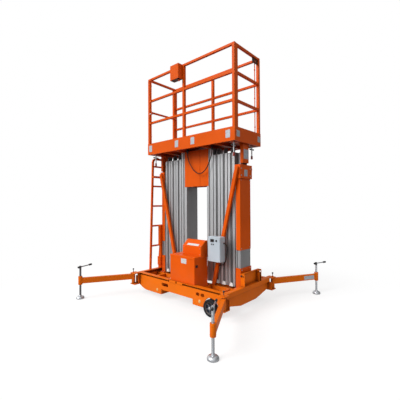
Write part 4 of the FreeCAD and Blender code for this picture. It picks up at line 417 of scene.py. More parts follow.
# each node's slot gives its material, apart from the nodes that have one of their own
slotOf = {entry["node"]: entry["material_slot"] for entry in frame["record"]["subparts"]}
ownMaterials = {
    "platform_floor": floorPaint,
    "platform_clamps": zincSteel,
    "lanyard_plate": shadedOrangePlate,
    "wheel_brackets": baseOrange,
    "castor_fork_front": zincSteel,
    "castor_fork_back": zincSteel,
}
for nodeName, node in frame["nodes"].items():
    chosen = ownMaterials.get(nodeName) or nodeMaterials.get(slotOf.get(nodeName), orange)
    for place in node.material_slots:
        place.material = chosen
print("materials on %d nodes" % len(frame["nodes"]))

# cords: part.py's routes in metres

hangingCable = {
    "radius": 0.006,
    "length": 0.806,
    "route": (
        (-0.130, -0.118, 2.000), (-0.130, -0.118, 1.960), (-0.103, -0.119, 1.884), (-0.062, -0.121, 1.815),
        (-0.016, -0.123, 1.761), (0.037, -0.125, 1.719), (0.096, -0.126, 1.697), (0.155, -0.126, 1.706),
        (0.205, -0.125, 1.742), (0.245, -0.123, 1.792), (0.276, -0.121, 1.851), (0.300, -0.119, 1.912),
        (0.315, -0.118, 1.968), (0.315, -0.118, 2.000),
    ),
}
controlLead = {
    "radius": 0.005,
    "length": 0.445,
    "route": (
        (0.5566, -0.190, 0.806), (0.582, -0.190, 0.803), (0.601, -0.190, 0.776), (0.604, -0.190, 0.730),
        (0.600, -0.189, 0.680), (0.592, -0.187, 0.634), (0.580, -0.184, 0.590), (0.556, -0.178, 0.556),
        (0.522, -0.165, 0.536), (0.484, -0.147, 0.522), (0.448, -0.124, 0.512), (0.4204, -0.114, 0.508),
    ),
}


def makeCord(name, values, body, replaced):
    # a NURBS line through the route's control points, made round by its bevel radius
    curve = bpy.data.curves.new(name, "CURVE")
    curve.dimensions = "3D"
    curve.bevel_depth = values["radius"]
    curve.bevel_resolution = 5
    curve.resolution_u = 10
    curve.use_fill_caps = True
    spline = curve.splines.new("NURBS")
    route = np.array(values["route"])
    spline.points.add(len(route) - 1)
    spline.points.foreach_set("co", np.column_stack([route, np.ones(len(route))]).ravel())
    spline.order_u = 3
    spline.use_endpoint_u = True
    curve.materials.append(blackRubber)
    cord = bpy.data.objects.new(name, curve)
    scene.collection.objects.link(cord)
    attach(cord, body)
    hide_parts(replaced)
    return cord


makeCord("hangingCable", hangingCable, "platform", "hanging_cable")
makeCord("controlLead", controlLead, "chassis", "control_lead")
print("cords made")

# surfaces: a shape is an array of points with an array of quads


def gridQuads(rows, columns, closeRows=False):
    # quads between neighbouring points of a grid of rows x columns, where each row closes into a ring
    row = np.arange(rows if closeRows else rows - 1)[:, None]
    column = np.arange(columns)[None, :]
    nextRow, nextColumn = (row + 1) % rows, (column + 1) % columns
    corners = [row * columns + column, row * columns + nextColumn,
               nextRow * columns + nextColumn, nextRow * columns + column]
    return np.stack(np.broadcast_arrays(*corners), axis=-1).reshape(-1, 4)


def fullTurn(steps):
    # the angles round a closed ring
    return np.linspace(0, 2 * math.pi, steps, endpoint=False)


def unit(vector):
    vector = np.asarray(vector, float)
    return vector / np.linalg.norm(vector)


def sideways(along):
    # two directions square to along
    guide = np.array((0.0, 0.0, 1.0)) if abs(along[2]) < 0.9 else np.array((1.0, 0.0, 0.0))
    first = unit(np.cross(guide, along))
    return first, np.cross(along, first)


def lathe(start, along, profile, steps=32):
    # point(i, a) = start + along * d_i + r_i * (u cos a + v sin a), for each (d_i, r_i) of the profile
    along = unit(along)
    u, v = sideways(along)
    profile = np.array(profile, float)
    angle = fullTurn(steps)
    ring = np.cos(angle)[:, None] * u + np.sin(angle)[:, None] * v
    points = np.asarray(start, float) + profile[:, 0, None, None] * along + profile[:, 1, None, None] * ring
    return points.reshape(-1, 3), gridQuads(len(profile), steps)


def openRing(start, along, section, steps=32):
    # the lathe of a closed section, which leaves the bore open
    return lathe(start, along, section, steps)[0], gridQuads(len(section), steps, closeRows=True)


def rod(start, along, radius, length, steps=20):
    # the lathe of a rectangle: a cylinder with closed ends
    return lathe(start, along, ((0, 0), (0, radius), (length, radius), (length, 0)), steps)


def ringBead(centre, along, radius, bead=0.0025, steps=28):
    # a torus: point = centre + (radius + bead cos b)(u cos a + v sin a) + bead sin b * along
    angle = fullTurn(6)
    return openRing(centre, along, np.column_stack([bead * np.sin(angle), radius + bead * np.cos(angle)]), steps)


def roundedOutline(width, height, radius, steps=5):
    # corner centres plus radius * (cos a, sin a), a quarter turn at each corner
    radius = min(radius, width / 2, height / 2)
    angle = np.linspace(0, math.pi / 2, steps)
    quarter = radius * np.column_stack([np.cos(angle), np.sin(angle)])
    x, y = width / 2 - radius, height / 2 - radius
    turned = [quarter, np.column_stack([-quarter[:, 1], quarter[:, 0]]), -quarter,
              np.column_stack([quarter[:, 1], -quarter[:, 0]])]
    return np.vstack([part + spot for part, spot in zip(turned, ((x, y), (-x, y), (-x, -y), (x, -y)))])


def stacked(centre, across, up, levels):
    # point = centre + (outline_x across + outline_y up) * share + h normal, for each (outline, share, h)
    across, up = unit(across), unit(up)
    normal = np.cross(across, up)
    return np.vstack([np.asarray(centre, float) + level * normal
                      + (outline[:, 0, None] * across + outline[:, 1, None] * up) * share
                      for outline, share, level in levels])


def slab(centre, across, up, width, height, depth, radius=0.004, rim=0.0008, sink=0.001):
    # a plate that stands out from a face, narrower by the rim on top
    outer = roundedOutline(width, height, radius)
    inner = roundedOutline(width - 2 * rim, height - 2 * rim, max(radius - rim, 0.0003))
    levels = ((outer, 0.0, -sink), (outer, 1.0, -sink), (outer, 1.0, depth - rim), (inner, 1.0, depth),
              (inner, 0.0, depth))
    return stacked(centre, across, up, levels), gridQuads(len(levels), len(outer))


def frameStrip(centre, across, up, width, height, band, depth, radius=0.004, sink=0.001):
    # a raised frame: the outer outline and one smaller by the band, joined top and bottom
    outer = roundedOutline(width, height, radius)
    inner = roundedOutline(width - 2 * band, height - 2 * band, max(radius - band, 0.001))
    levels = ((outer, 1.0, -sink), (outer, 1.0, depth), (inner, 1.0, depth), (inner, 1.0, -sink))
    return stacked(centre, across, up, levels), gridQuads(len(levels), len(outer), closeRows=True)


def block(low, high):
    # the eight corners of a box, taken as two rings of four with pinched ends
    low, high = np.minimum(low, high), np.maximum(low, high)
    centre, size = (low + high) / 2, high - low
    square = np.array(((-1, -1), (1, -1), (1, 1), (-1, 1))) / 2
    rings = [np.column_stack([square * share * size[:2], np.full(4, level * size[2] / 2)])
             for share, level in ((0, -1), (1, -1), (1, 1), (0, 1))]
    return centre + np.vstack(rings), gridQuads(4, 4)


def repeated(shape, offsets):
    # one shape at every offset, by broadcasting
    points, quads = shape
    offsets = np.asarray(offsets, float).reshape(-1, 3)
    moved = (points[None] + offsets[:, None]).reshape(-1, 3)
    faces = (quads[None] + (np.arange(len(offsets)) * len(points))[:, None, None]).reshape(-1, 4)
    return moved, faces


def turnedShape(shape, centre, angle, axis=(0, 0, 1)):
    # every point turned about an axis through the centre
    points, quads = shape
    centre = np.asarray(centre, float)
    spin = np.array(Matrix.Rotation(angle, 3, Vector(axis)))
    return (points - centre) @ spin.T + centre, quads


def weldRing(centre, along, half, bead=0.0022):
    # a bead carried round a square: each point of its outline plus bead * (cos b outwards + sin b along)
    along = unit(along)
    u, v = sideways(along)
    outline = roundedOutline(2 * half, 2 * half, 0.004, 4)
    outwards = outline[:, 0, None] * u + outline[:, 1, None] * v
    path = np.asarray(centre, float) + outwards
    outwards = outwards / np.linalg.norm(outwards, axis=1)[:, None]
    angle = fullTurn(6)[None, :, None]
    rings = path[:, None, :] + bead * (np.cos(angle) * outwards[:, None, :] + np.sin(angle) * along)
    return rings.reshape(-1, 3), gridQuads(len(path), 6, closeRows=True)


def handGrip(start, along, length, radius):
    # a cylinder with rounded ends and three shallow rings: r(d) = R (1 - 0.06 ring) inside elliptic ends
    share = np.linspace(0, 1, 25)
    edge = np.minimum(share, 1 - share) * length
    rounded = np.sqrt(np.clip(1 - (1 - np.clip(edge / (0.35 * radius), 0, 1)) ** 2, 0, 1))
    rings = 1 - 0.06 * (np.cos(share * 8 * math.pi) < -0.3)
    return lathe(start, along, np.column_stack([share * length, radius * 1.02 * rounded * rings]), 24)


def joined(shapes):
    points, faces, count = [], [], 0
    for part, quads in shapes:
        points.append(part)
        faces.append(quads + count)
        count += len(part)
    return np.vstack(points), np.vstack(faces)


washerProfile = {"under": 0.0005, "top": 0.0022, "edge": 0.0005, "wide": 1.15, "narrow": 1.05}
headProfile = ((0, 0), (0, 0.92), (0.5, 0.92), (0.66, 0.72), (0.66, 0))


def bolt(spot, outward, size):
    # a washer and a chamfered hexagon head, both with radii in shares of the size
    outward, spot = unit(outward), np.asarray(spot, float)
    top, rim = washerProfile["top"], washerProfile["top"] + washerProfile["edge"]
    wide, narrow = washerProfile["wide"] * size, washerProfile["narrow"] * size
    washer = lathe(spot - outward * washerProfile["under"], outward,
                   ((0, 0), (0, wide), (top, wide), (rim, narrow), (rim, 0)), 20)
    return joined([washer, lathe(spot + outward * top, outward, size * np.array(headProfile), 6)])


def softenEdges(piece, width):
    softener = piece.modifiers.new("softEdge", "BEVEL")
    softener.width = width
    softener.segments = 2
    softener.limit_method = "ANGLE"
    return softener


def makePiece(name, shapes, body, look, metal=None, sharp=35.0, bevel=0.0):
    # look is a slot's name, in its own material unless metal gives another, or a material without a slot;
    # doubles are merged, faces turned outwards, and edges past the sharp angle stay crisp
    slot = look if isinstance(look, str) else None
    points, faces = joined(shapes)
    mesh = bpy.data.meshes.new(name)
    mesh.from_pydata(points.tolist(), [], faces.tolist())
    work = bmesh.new()
    work.from_mesh(mesh)
    bmesh.ops.remove_doubles(work, verts=work.verts, dist=1e-6)
    bmesh.ops.dissolve_degenerate(work, edges=work.edges, dist=1e-7)
    bmesh.ops.recalc_face_normals(work, faces=work.faces)
    work.to_mesh(mesh)
    work.free()
    mesh.polygons.foreach_set("use_smooth", np.ones(len(mesh.polygons), bool))
    mesh.set_sharp_from_angle(angle=math.radians(sharp))
    mesh.materials.append(metal or (nodeMaterials[slot] if slot else look))
    piece = bpy.data.objects.new(name, mesh)
    scene.collection.objects.link(piece)
    if bevel:
        softenEdges(piece, bevel)
    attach(piece, body)
    return piece


def spots(*axes):
    # every combination of the X, Y and Z given
    return np.stack(np.meshgrid(*axes, indexing="ij"), axis=-1).reshape(-1, 3)


def makeFittings(body, table):
    # name: (look, groups, settings), where a group is a surface function, the places it is used at, and its
    # further values in the order of its arguments
    for name, (look, groups, *settings) in table.items():
        shapes = [make(place, *values) for make, places, *values in groups for place in places]
        makePiece(name, shapes, body, look, **dict(settings))


toRight, toLeft = (1, 0, 0), (-1, 0, 0)
toBack, toFront = (0, 1, 0), (0, -1, 0)
upward, downward = (0, 0, 1), (0, 0, -1)
bothWays = (-1, 1)
sideOf = {"front": -1, "back": 1}

# floor tread

treadPattern = {"pitch": 0.034, "length": 0.024, "width": 0.007, "height": 0.0012, "sink": 0.0005,
                "turn": math.radians(45), "area": (1.54, 0.54), "level": 2.074}


def treadBar(values, turn, steps=8):
    # a lozenge: height * (1 - r^2) over an ellipse of the bar's length and width, closed below
    radius = np.linspace(0, 1, 3)[:, None]
    angle = fullTurn(steps)[None, :]
    x = values["length"] / 2 * radius * np.cos(angle)
    y = values["width"] / 2 * radius * np.sin(angle)
    z = values["height"] * (1 - radius ** 2) + 0 * angle
    spin = np.array(((math.cos(turn), -math.sin(turn)), (math.sin(turn), math.cos(turn))))
    flat = np.stack([x, y], axis=-1) @ spin.T
    top = np.concatenate([flat, z[..., None]], axis=-1)
    under = np.concatenate([top[-1:], np.zeros((1, steps, 3))])
    under[..., 2] = -values["sink"]
    points = np.concatenate([top, under])
    return points.reshape(-1, 3), gridQuads(len(points), steps)


def treadSpots(values):
    # the bars' places, one pitch apart about the middle of the floor, and which of them lean the first way
    counts = [int(length / values["pitch"]) for length in values["area"]]
    x, y = [(np.arange(count) - (count - 1) / 2) * values["pitch"] for count in counts]
    lean = np.add.outer(*[np.arange(count) for count in counts]) % 2 == 0
    return spots(x, y, values["level"]), lean.ravel()


places, lean = treadSpots(treadPattern)
makePiece("floorTread", [repeated(treadBar(treadPattern, treadPattern["turn"]), places[lean]),
                         repeated(treadBar(treadPattern, -treadPattern["turn"]), places[~lean])],
          "platform", floorPaint, sharp=60)

# platform: blank plates, end caps, welds, hold-down screws, buffers, glands, rod clips, control box

postX, postY, postHalf, postFoot = 0.7795, 0.2695, 0.0175, 2.0742
middlePosts = {-1: -0.042, 1: 0.021}
rails = {"levels": (2.507, 2.840), "half": 0.0152, "endRailStart": -0.234}
railWelds = [(weldRing, spots(postX, rails["endRailStart"], rails["levels"]), toBack, rails["half"])]
for side, middle in middlePosts.items():
    for face in bothWays:
        x = np.array((middle, -face * postX)) + face * postHalf
        railWelds.append((weldRing, spots(x, side * postY, rails["levels"]), (face, 0, 0), rails["half"]))
postSpots = [*spots((-postX, postX), (-postY, postY), postFoot),
             *((middle, side * postY, postFoot) for side, middle in middlePosts.items())]

clampX, clampY, clampBar = (-0.720, 0.720), (-0.200, 0.200), {"level": 1.990, "end": 0.0465, "radius": 0.0092}
gripLengths = {-1: 0.0175, 1: 0.034}
clampGrips = [(handGrip, spots(clampX, side * clampY[1] + end * (clampBar["end"] - length), clampBar["level"]),
               (0, end, 0), length, clampBar["radius"]) for side, length in gripLengths.items() for end in bothWays]
boxMiddle, boxInside = -0.132, -0.2854

# slab: across, up, width, height, depth, corner radius; block: the opposite corner; lathe and openRing:
# direction, profile of (distance along, radius), steps; bolt: direction, size
makeFittings("platform", {
    "toeBoardPlates": (plateFilm, [
        (slab, spots((-0.735, -0.173, 0.127, 0.700), -0.2901, 2.117), toRight, upward, 0.067, 0.094, 0.0016),
        (slab, spots(0.8001, (-0.222, 0.247), 2.117), toBack, upward, 0.067, 0.074, 0.0016)]),
    "railEndCaps": ("paint", [
        (slab, spots(side * 0.797, (-postY, postY), 3.165), (0, side, 0), upward, 0.0285, 0.0285, 0.0015)
        for side in bothWays]),
    "railWelds": ("paint", railWelds, ("sharp", 80)),
    "postWelds": ("paint", [(weldRing, postSpots, upward, 0.0178)], ("sharp", 80)),
    "legPlate": (plateFilm, [(slab, spots(0.7601, 0.004, 1.903), toBack, upward, 0.104, 0.118, 0.0014)]),
    "carriageBolts": ("steel", [(bolt, spots((-0.196, 0.196), 0.154, (1.565, 1.775, 1.985)), toBack, 0.005)]),
    "clampSleeves": (redGrip, [
        (lathe, spots(clampX, clampY, 1.864), upward,
         ((0, 0), (0, 0.0115), (0.002, 0.0130), (0.040, 0.0130), (0.043, 0.0105), (0.043, 0)), 24)]),
    "clampGrips": ("black_plastic", clampGrips),
    "clampNuts": ("steel", [
        (lathe, spots(clampX, clampY, 2.0118), upward,
         ((0, 0), (0, 0.0155), (0.001, 0.0165), (0.0178, 0.0165), (0.0178, 0)), 6)]),
    "legBuffers": ("black_rubber", [
        (block, spots(side * 0.718, -0.0502, 1.7756), (side * 0.7442, 0.0502, 1.7949)) for side in bothWays],
        ("bevel", 0.003)),
    "glandNuts": ("black_plastic", [
        (openRing, spots((-0.130, 0.315), -0.118, 2.000), upward,
         ((-0.002, 0.0062), (-0.002, 0.0105), (0.004, 0.0138), (0.010, 0.0138), (0.010, 0.0155),
          (0.022, 0.0155), (0.022, 0.0132), (0.022, 0.0062)), 12)]),
    "rodClips": ("paint", [
        (openRing, spots(side * 0.716, side * 0.2908, (2.30, 2.68, 3.06)), upward,
         ((-0.006, 0.0062), (-0.006, 0.0092), (0.006, 0.0092), (0.006, 0.0062)), 20) for side in bothWays]),
    "pendantFace": ("paint", [
        (slab, spots(boxMiddle, -0.3671, 3.072), toRight, upward, 0.150, 0.190, 0.0015, 0.006),
        (slab, spots(boxMiddle, -0.2869, 3.058), toLeft, upward, 0.146, 0.160, 0.0015, 0.006)]),
    "pendantBase": ("black_plastic", [
        (slab, spots(boxMiddle, -0.327, 2.9719), toLeft, toBack, 0.150, 0.070, 0.004, 0.006)]),
    "stopButton": (redGrip, [
        (lathe, spots(boxMiddle - 0.040, boxInside, 3.095), toBack,
         ((0, 0), (0, 0.012), (0.008, 0.012), (0.010, 0.019), (0.016, 0.0195), (0.020, 0.014), (0.021, 0)), 28)]),
    "pendantSwitches": ("black_plastic", [
        (lathe, spots((boxMiddle + 0.005, boxMiddle + 0.042), boxInside, 3.095), toBack,
         ((0, 0), (0, 0.0085), (0.004, 0.0085), (0.004, 0.003), (0.020, 0.0042), (0.021, 0)), 16),
        (lathe, spots((boxMiddle - 0.036, boxMiddle + 0.004, boxMiddle + 0.044), boxInside, 3.035), toBack,
         ((0, 0), (0, 0.011), (0.003, 0.011), (0.003, 0.008), (0.008, 0.0075), (0.009, 0)), 20)]),
    "pendantScrews": ("steel", [
        (bolt, spots((boxMiddle - 0.066, boxMiddle + 0.066), -0.3686, (2.986, 3.158)), toFront, 0.003)]),
})
print("platform dressed")

# softened edges on the welded steelwork, by width

edgeSoftening = {
    0.0022: ("guard_posts", "top_rails", "mid_rails", "braces", "ladder_stiles", "outrigger_front_left",
             "outrigger_front_right", "outrigger_back_left", "outrigger_back_right", "entry_bar", "end_legs"),
    0.0012: ("top_brackets", "mast_feet", "corner_brackets", "tow_bracket", "power_unit", "control_console",
             "platform_control", "ladder_support", "base_beams", "deck_frame", "mast_fixed", "mast_stage_1",
             "mast_stage_2", "mast_stage_3", "mast_inner_pair"),
    0.0006: ("toe_boards", "end_covers", "carriage_panels", "base_rims", "base_skirts"),
}
softenedAngle = math.radians(40)
for width, names in edgeSoftening.items():
    for nodeName in names:
        node = frame["nodes"][nodeName]
        node.modifiers.new("weld", "WELD").merge_threshold = 1e-6
        softener = softenEdges(node, width)
        softener.angle_limit = softenedAngle
        softener.use_clamp_overlap = True
print("edges softened")

# wheels

wheelValues = {
    "wheel": {"label": "wheel", "body": "fixed_wheel_", "spot": (0.585, 0.482, 0.100), "outer": 0.100,
              "inner": 0.068, "width": 0.046, "boss": 0.024, "bore": 0.010},
    "castor_wheel": {"label": "castorWheel", "body": "castor_roller_", "spot": (-0.635, 0.300, 0.075),
                     "outer": 0.075, "inner": 0.050, "width": 0.040, "boss": 0.018, "bore": 0.008},
}
treadGroove = {"place": 0.2, "depth": 0.0015}
spokeValues = {"count": 5, "half": 0.0055, "narrowing": 0.35, "turn": 0.3}
rimSection = ((0.30, 0.86), (0.42, 0.90), (0.47, 1.0), (0.30, 1.03))  # shares of the width and the inner radius


def tyreRing(centre, values, steps=72, around=28):
    # a rounded square section, d = w/2 |cos t|^0.5 and r = mid + h/2 |sin t|^0.5 with their signs, less two
    # tread grooves, turned about the axle
    turn = fullTurn(around)
    across = values["width"] / 2 * np.sign(np.cos(turn)) * np.abs(np.cos(turn)) ** 0.5
    middle, half = (values["outer"] + values["inner"]) / 2, (values["outer"] - values["inner"]) / 2
    radius = middle + half * np.sign(np.sin(turn)) * np.abs(np.sin(turn)) ** 0.5
    away = (np.abs(across) - values["width"] * treadGroove["place"]) / treadGroove["depth"]
    groove = treadGroove["depth"] * np.exp(-away ** 2) * (radius > middle)
    return openRing(centre, toBack, np.column_stack([across, radius - groove]), steps)


def hubDisc(centre, values):
    # dished web between the boss and the rim, the same on both faces
    half, inner = values["width"] / 2, values["inner"]
    outline = ((half * 0.35, 0.0), (half * 0.35, inner * 0.80), (half * 0.75, inner * 0.88),
               (half * 0.80, inner + 0.001))
    profile = [(-depth, radius) for depth, radius in outline] + [(depth, radius) for depth, radius in outline[::-1]]
    return lathe(centre, toBack, profile, 48)


def hubSpokes(centre, values, face):
    # tapered ribs: a box from the boss to the rim, narrowed outwards, repeated round the axle
    half = values["width"] / 2
    points, quads = block((values["boss"] * 0.8, face * half * 0.34, -spokeValues["half"]),
                          (values["inner"] * 0.84, face * half * 0.72, spokeValues["half"]))
    points[:, 2] *= 1 - spokeValues["narrowing"] * (points[:, 0] - points[:, 0].min()) / np.ptp(points[:, 0])
    step = 2 * math.pi / spokeValues["count"]
    return [turnedShape((points + centre, quads), centre, step * index + spokeValues["turn"], toBack)
            for index in range(spokeValues["count"])]


def hubCap(centre, values, face):
    # boss, washer and axle nut on one face
    half, boss, bore = values["width"] / 2, values["boss"], values["bore"]
    outwards = (0, face, 0)
    cap = lathe(centre, outwards, ((half * 0.3, 0), (half * 0.3, boss), (half * 0.9, boss * 0.92),
                                   (half * 0.98, boss * 0.8), (half * 0.98, 0)), 32)
    washer = lathe(centre, outwards, ((half * 0.97, 0), (half * 0.97, bore * 1.7), (half + 0.0015, bore * 1.7),
                                      (half + 0.0015, 0)), 24)
    nut = lathe(centre, outwards, ((half + 0.001, 0), (half + 0.001, bore * 1.35), (half + 0.006, bore * 1.35),
                                   (half + 0.0075, bore * 1.1), (half + 0.0075, 0)), 6)
    return cap, [washer, nut]


for kind, values in wheelValues.items():
    section = np.array(rimSection) * (values["width"], values["inner"])
    for end, side in sideOf.items():
        centre = np.array(values["spot"]) * (1, side, 1)
        body, label = values["body"] + end, values["label"] + end.capitalize()
        tyre = makePiece(label + "Tyre", [tyreRing(centre, values)], body, "grey_tyre", sharp=60)
        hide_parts(kind + "_" + end)
        caps = [hubCap(centre, values, face) for face in bothWays]
        ribs = [rib for face in bothWays for rib in hubSpokes(centre, values, face)]
        makePiece(label + "Web", [hubDisc(centre, values)], body, hubPlastic, sharp=40)
        makePiece(label + "Spokes", ribs + [cap[0] for cap in caps], body, spokeGrey, sharp=40, bevel=0.0008)
        makePiece(label + "Nuts", [shape for cap in caps for shape in cap[1]], body, "steel")
        makePiece(label + "Rim", [openRing(centre, (0, face, 0), section, 48) for face in bothWays], body, hubRim,
                  sharp=50)

castorParts = {"x": -0.600, "y": 0.300, "axleX": -0.635, "axleLevel": 0.075, "forkOut": 0.038, "axleBolt": 0.009,
               "race": 0.0335, "raceLevel": 0.1805, "raceBead": 0.0035}
for end, side in sideOf.items():
    y = side * castorParts["y"]
    forkNuts = [(bolt, spots(castorParts["axleX"], y + face * castorParts["forkOut"], castorParts["axleLevel"]),
                 (0, face, 0), castorParts["axleBolt"]) for face in bothWays]
    forkNuts.append((ringBead, spots(castorParts["x"], y, castorParts["raceLevel"]), upward, castorParts["race"],
                     castorParts["raceBead"], 36))
    makeFittings("castor_" + end, {"castorForkNuts_" + end: ("steel", forkNuts)})
print("wheels made")

# outriggers: threaded screws, feet, tommy bars and grips

jackValues = {  # sides, turn of the bar in degrees, metal of the screw and bar, metal of the screw's head
    "front_left": (-1, -1, 107, jackDark, darkSteel),
    "front_right": (1, -1, 120, jackZinc, jackZinc),
    "back_left": (-1, 1, 300, jackZinc, darkSteel),
    "back_right": (1, 1, 72, jackZinc, darkSteel),
}
jackSizes = {
    "x": 1.177, "y": 1.16335, "screw": 0.014, "threadDepth": 0.0011, "pitch": 0.005, "threadLow": 0.046,
    "threadHigh": 0.408, "foot": 0.0525, "neck": 0.020, "footHeight": 0.038, "footRim": 0.010, "barLevel": 0.430,
    "head": ((0.407, 0), (0.407, 0.0138), (0.408, 0.014), (0.445, 0.014), (0.446, 0.013), (0.446, 0)),
    "barStart": 0.040, "barLength": 0.244, "bar": 0.0068, "grip": 0.013,
    "grips": ((-0.042, 0.022), (0.153, 0.052)),  # start along the bar, length
}


def screwThread(spot, values, steps=18, perPitch=5):
    # radius(z, a) = R - depth * triangle(z / pitch - a / 2 pi), which winds one start round the rod
    rows = int((values["threadHigh"] - values["threadLow"]) / values["pitch"] * perPitch)
    level = np.linspace(values["threadLow"], values["threadHigh"], rows)[:, None]
    angle = fullTurn(steps)[None, :]
    phase = np.mod(level / values["pitch"] - angle / (2 * math.pi), 1.0)
    radius = values["screw"] - values["threadDepth"] * (1 - np.abs(2 * phase - 1))
    body = np.stack([radius * np.cos(angle), radius * np.sin(angle), level + 0 * angle], axis=-1)
    ends = np.zeros((2, steps, 3))
    ends[0, :, 2], ends[1, :, 2] = values["threadLow"], values["threadHigh"]
    points = np.concatenate([ends[:1], body, ends[1:]]).reshape(-1, 3) + np.asarray(spot, float)
    return points, gridQuads(rows + 2, steps)


def jackFoot(spot, values):
    # straight rim, then a quarter ellipse up to the neck, with a ring where the ball socket closes
    turn = np.linspace(0, math.pi / 2, 10)
    low, high, foot, neck = (values[key] for key in ("footRim", "footHeight", "foot", "neck"))
    dome = np.column_stack([low + (high - low) * np.sin(turn), neck + (foot - neck) * np.cos(turn)])
    lower = ((0.0, 0.0), (0.0, foot - 0.002), (0.002, foot))
    upper = ((high + 0.001, neck - 0.001), (high + 0.009, neck - 0.002), (high + 0.010, values["screw"]),
             (high + 0.010, 0.0))
    return lathe(spot, upward, np.vstack([lower, dome, upper]), 48)


for name, (sideX, sideY, barTurn, metal, headMetal) in jackValues.items():
    spot = np.array((sideX * jackSizes["x"], sideY * jackSizes["y"], 0.0))
    body = "screw_jack_" + name
    along = np.array((math.cos(math.radians(barTurn)), math.sin(math.radians(barTurn)), 0.0))
    barSpot = spot + (0, 0, jackSizes["barLevel"])
    screw = makePiece("jackScrew_" + name, [screwThread(spot, jackSizes)], body, "bright_steel", metal, sharp=40)
    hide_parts("jack_" + name)
    makeFittings(body, {
        "jackHead_" + name: ("bright_steel", [(lathe, [spot], upward, jackSizes["head"], 24)],
                             ("metal", headMetal)),
        "jackBar_" + name: ("bright_steel", [
            (rod, [barSpot - along * jackSizes["barStart"]], along, jackSizes["bar"], jackSizes["barLength"], 18)],
            ("metal", metal)),
        "jackFoot_" + name: ("bright_steel", [(jackFoot, [spot], jackSizes)], ("sharp", 50)),
        "jackGrips_" + name: ("black_plastic", [
            (handGrip, [barSpot + along * start], along, length, jackSizes["grip"])
            for start, length in jackSizes["grips"]]),
    })

armValues = {"hinge": (0.820, 0.545), "splay": math.radians(60), "length": 0.714, "low": 0.207, "high": 0.282,
             "sleeve": 0.0272, "bead": 0.0016, "collarBack": 0.0262, "collar": (0.050, 0.079, 0.006, 0.0028)}
hingeStem = {"level": 0.300, "profile": ((0, 0), (0, 0.0085), (0.003, 0.0085), (0.003, 0.0046), (0.040, 0.0046),
                                         (0.040, 0))}
hingeKnob = {"level": 0.349, "radius": 0.0116}
armPlate = {"along": 0.575, "out": 0.0226, "level": 0.2445, "size": (0.165, 0.052, 0.0012)}


def armLine(sideX, sideY, values):
    # the hinge on the ground plan, and the arm's direction from it
    hinge = np.array((sideX * values["hinge"][0], sideY * values["hinge"][1], 0.0))
    return hinge, np.array((sideX * math.cos(values["splay"]), sideY * math.sin(values["splay"]), 0.0))


turn = np.linspace(0, math.pi, 15)
ballProfile = hingeKnob["radius"] * np.column_stack([-np.cos(turn), np.sin(turn)])
for name, (sideX, sideY, *rest) in jackValues.items():
    hinge, along = armLine(sideX, sideY, armValues)
    tip = hinge + along * armValues["length"]
    low, high = tip + (0, 0, armValues["low"]), tip + (0, 0, armValues["high"])
    collar = (low + high) / 2 - along * armValues["collarBack"]
    makeFittings("arm_" + name, {"armWelds_" + name: ("paint_base", [
        (ringBead, (low, high), upward, armValues["sleeve"], armValues["bead"], 36),
        (frameStrip, [collar], np.cross(along, upward), upward, *armValues["collar"])], ("sharp", 70))})
    makeFittings("chassis", {
        "hingeStem_" + name: ("steel", [(lathe, [hinge + (0, 0, hingeStem["level"])], upward, hingeStem["profile"],
                                         20)], ("metal", darkSteel)),
        "hingeKnob_" + name: ("black_plastic", [(lathe, [hinge + (0, 0, hingeKnob["level"])], upward, ballProfile,
                                                 24)], ("sharp", 70)),
    })

hinge, along = armLine(1, 1, armValues)
plateSpot = (hinge + along * armPlate["along"] + np.array((along[1], -along[0], 0.0)) * armPlate["out"]
             + (0, 0, armPlate["level"]))
makePiece("armPlate", [slab(plateSpot, along, upward, *armPlate["size"])], "arm_back_right", plateFilm)
print("outriggers dressed")

# masts: chain plates and pins, axle ends, slider pads

mastValues = {"pitch": 0.1155, "inner": 0.190, "width": 0.104, "wheelY": -0.029, "wheelZ": 1.975,
              "cheekOut": 0.016,
              "axleEnd": ((0, 0), (0, 0.0125), (0.002, 0.0125), (0.002, 0.009), (0.004, 0.0085), (0.004, 0))}
chainValues = {"y": -0.066, "low": 0.312, "pitch": 0.01588, "plateLength": 0.0257256, "plateHeight": 0.0112,
               "plate": 0.0016, "rows": {0.0: (-0.0078, -0.0012, 0.0054), 0.5: (-0.0045, 0.0021, 0.0078)},
               "pinLevels": (0.318, 0.335), "pin": 0.0026, "pinHalf": 0.0088}
padValues = {"low": 0.2655, "high": 0.306, "front": -0.0895, "back": -0.0751, "foot": 0.058, "head": 0.028,
             "lean": 0.006}


def linkPlate(values):
    # two round ends and a waist: half height h(x) = H (0.74 - 0.26 cos(4 pi x / L)) between the pins
    share = np.linspace(-0.5, 0.5, 9)
    waist = np.where(np.abs(share) > 0.49, 0.45, 0.74 - 0.26 * np.cos(4 * math.pi * share))
    half = values["plateHeight"] / 2 * waist
    outline = np.vstack([np.column_stack([half, share * values["plateLength"]]),
                         np.column_stack([-half[::-1], share[::-1] * values["plateLength"]])])
    levels = ((0, -0.5), (1, -0.5), (1, 0.5), (0, 0.5))
    rings = [np.column_stack([np.full(len(outline), level * values["plate"]), outline * grow])
             for grow, level in levels]
    return np.vstack(rings), gridQuads(len(levels), len(outline))


def sliderPad(middle, values):
    # a wedge against the section's face: width(h) = foot - (foot - head) h, its front leaning in by lean * h
    points, quads = block((-0.5, values["front"], values["low"]), (0.5, values["back"], values["high"]))
    share = (points[:, 2] - values["low"]) / (values["high"] - values["low"])
    inFront = points[:, 1] < (values["front"] + values["back"]) / 2
    points[:, 0] = middle + points[:, 0] * (values["foot"] - (values["foot"] - values["head"]) * share)
    points[:, 1] += np.where(inFront, values["lean"] * share, 0.0)
    return points, quads


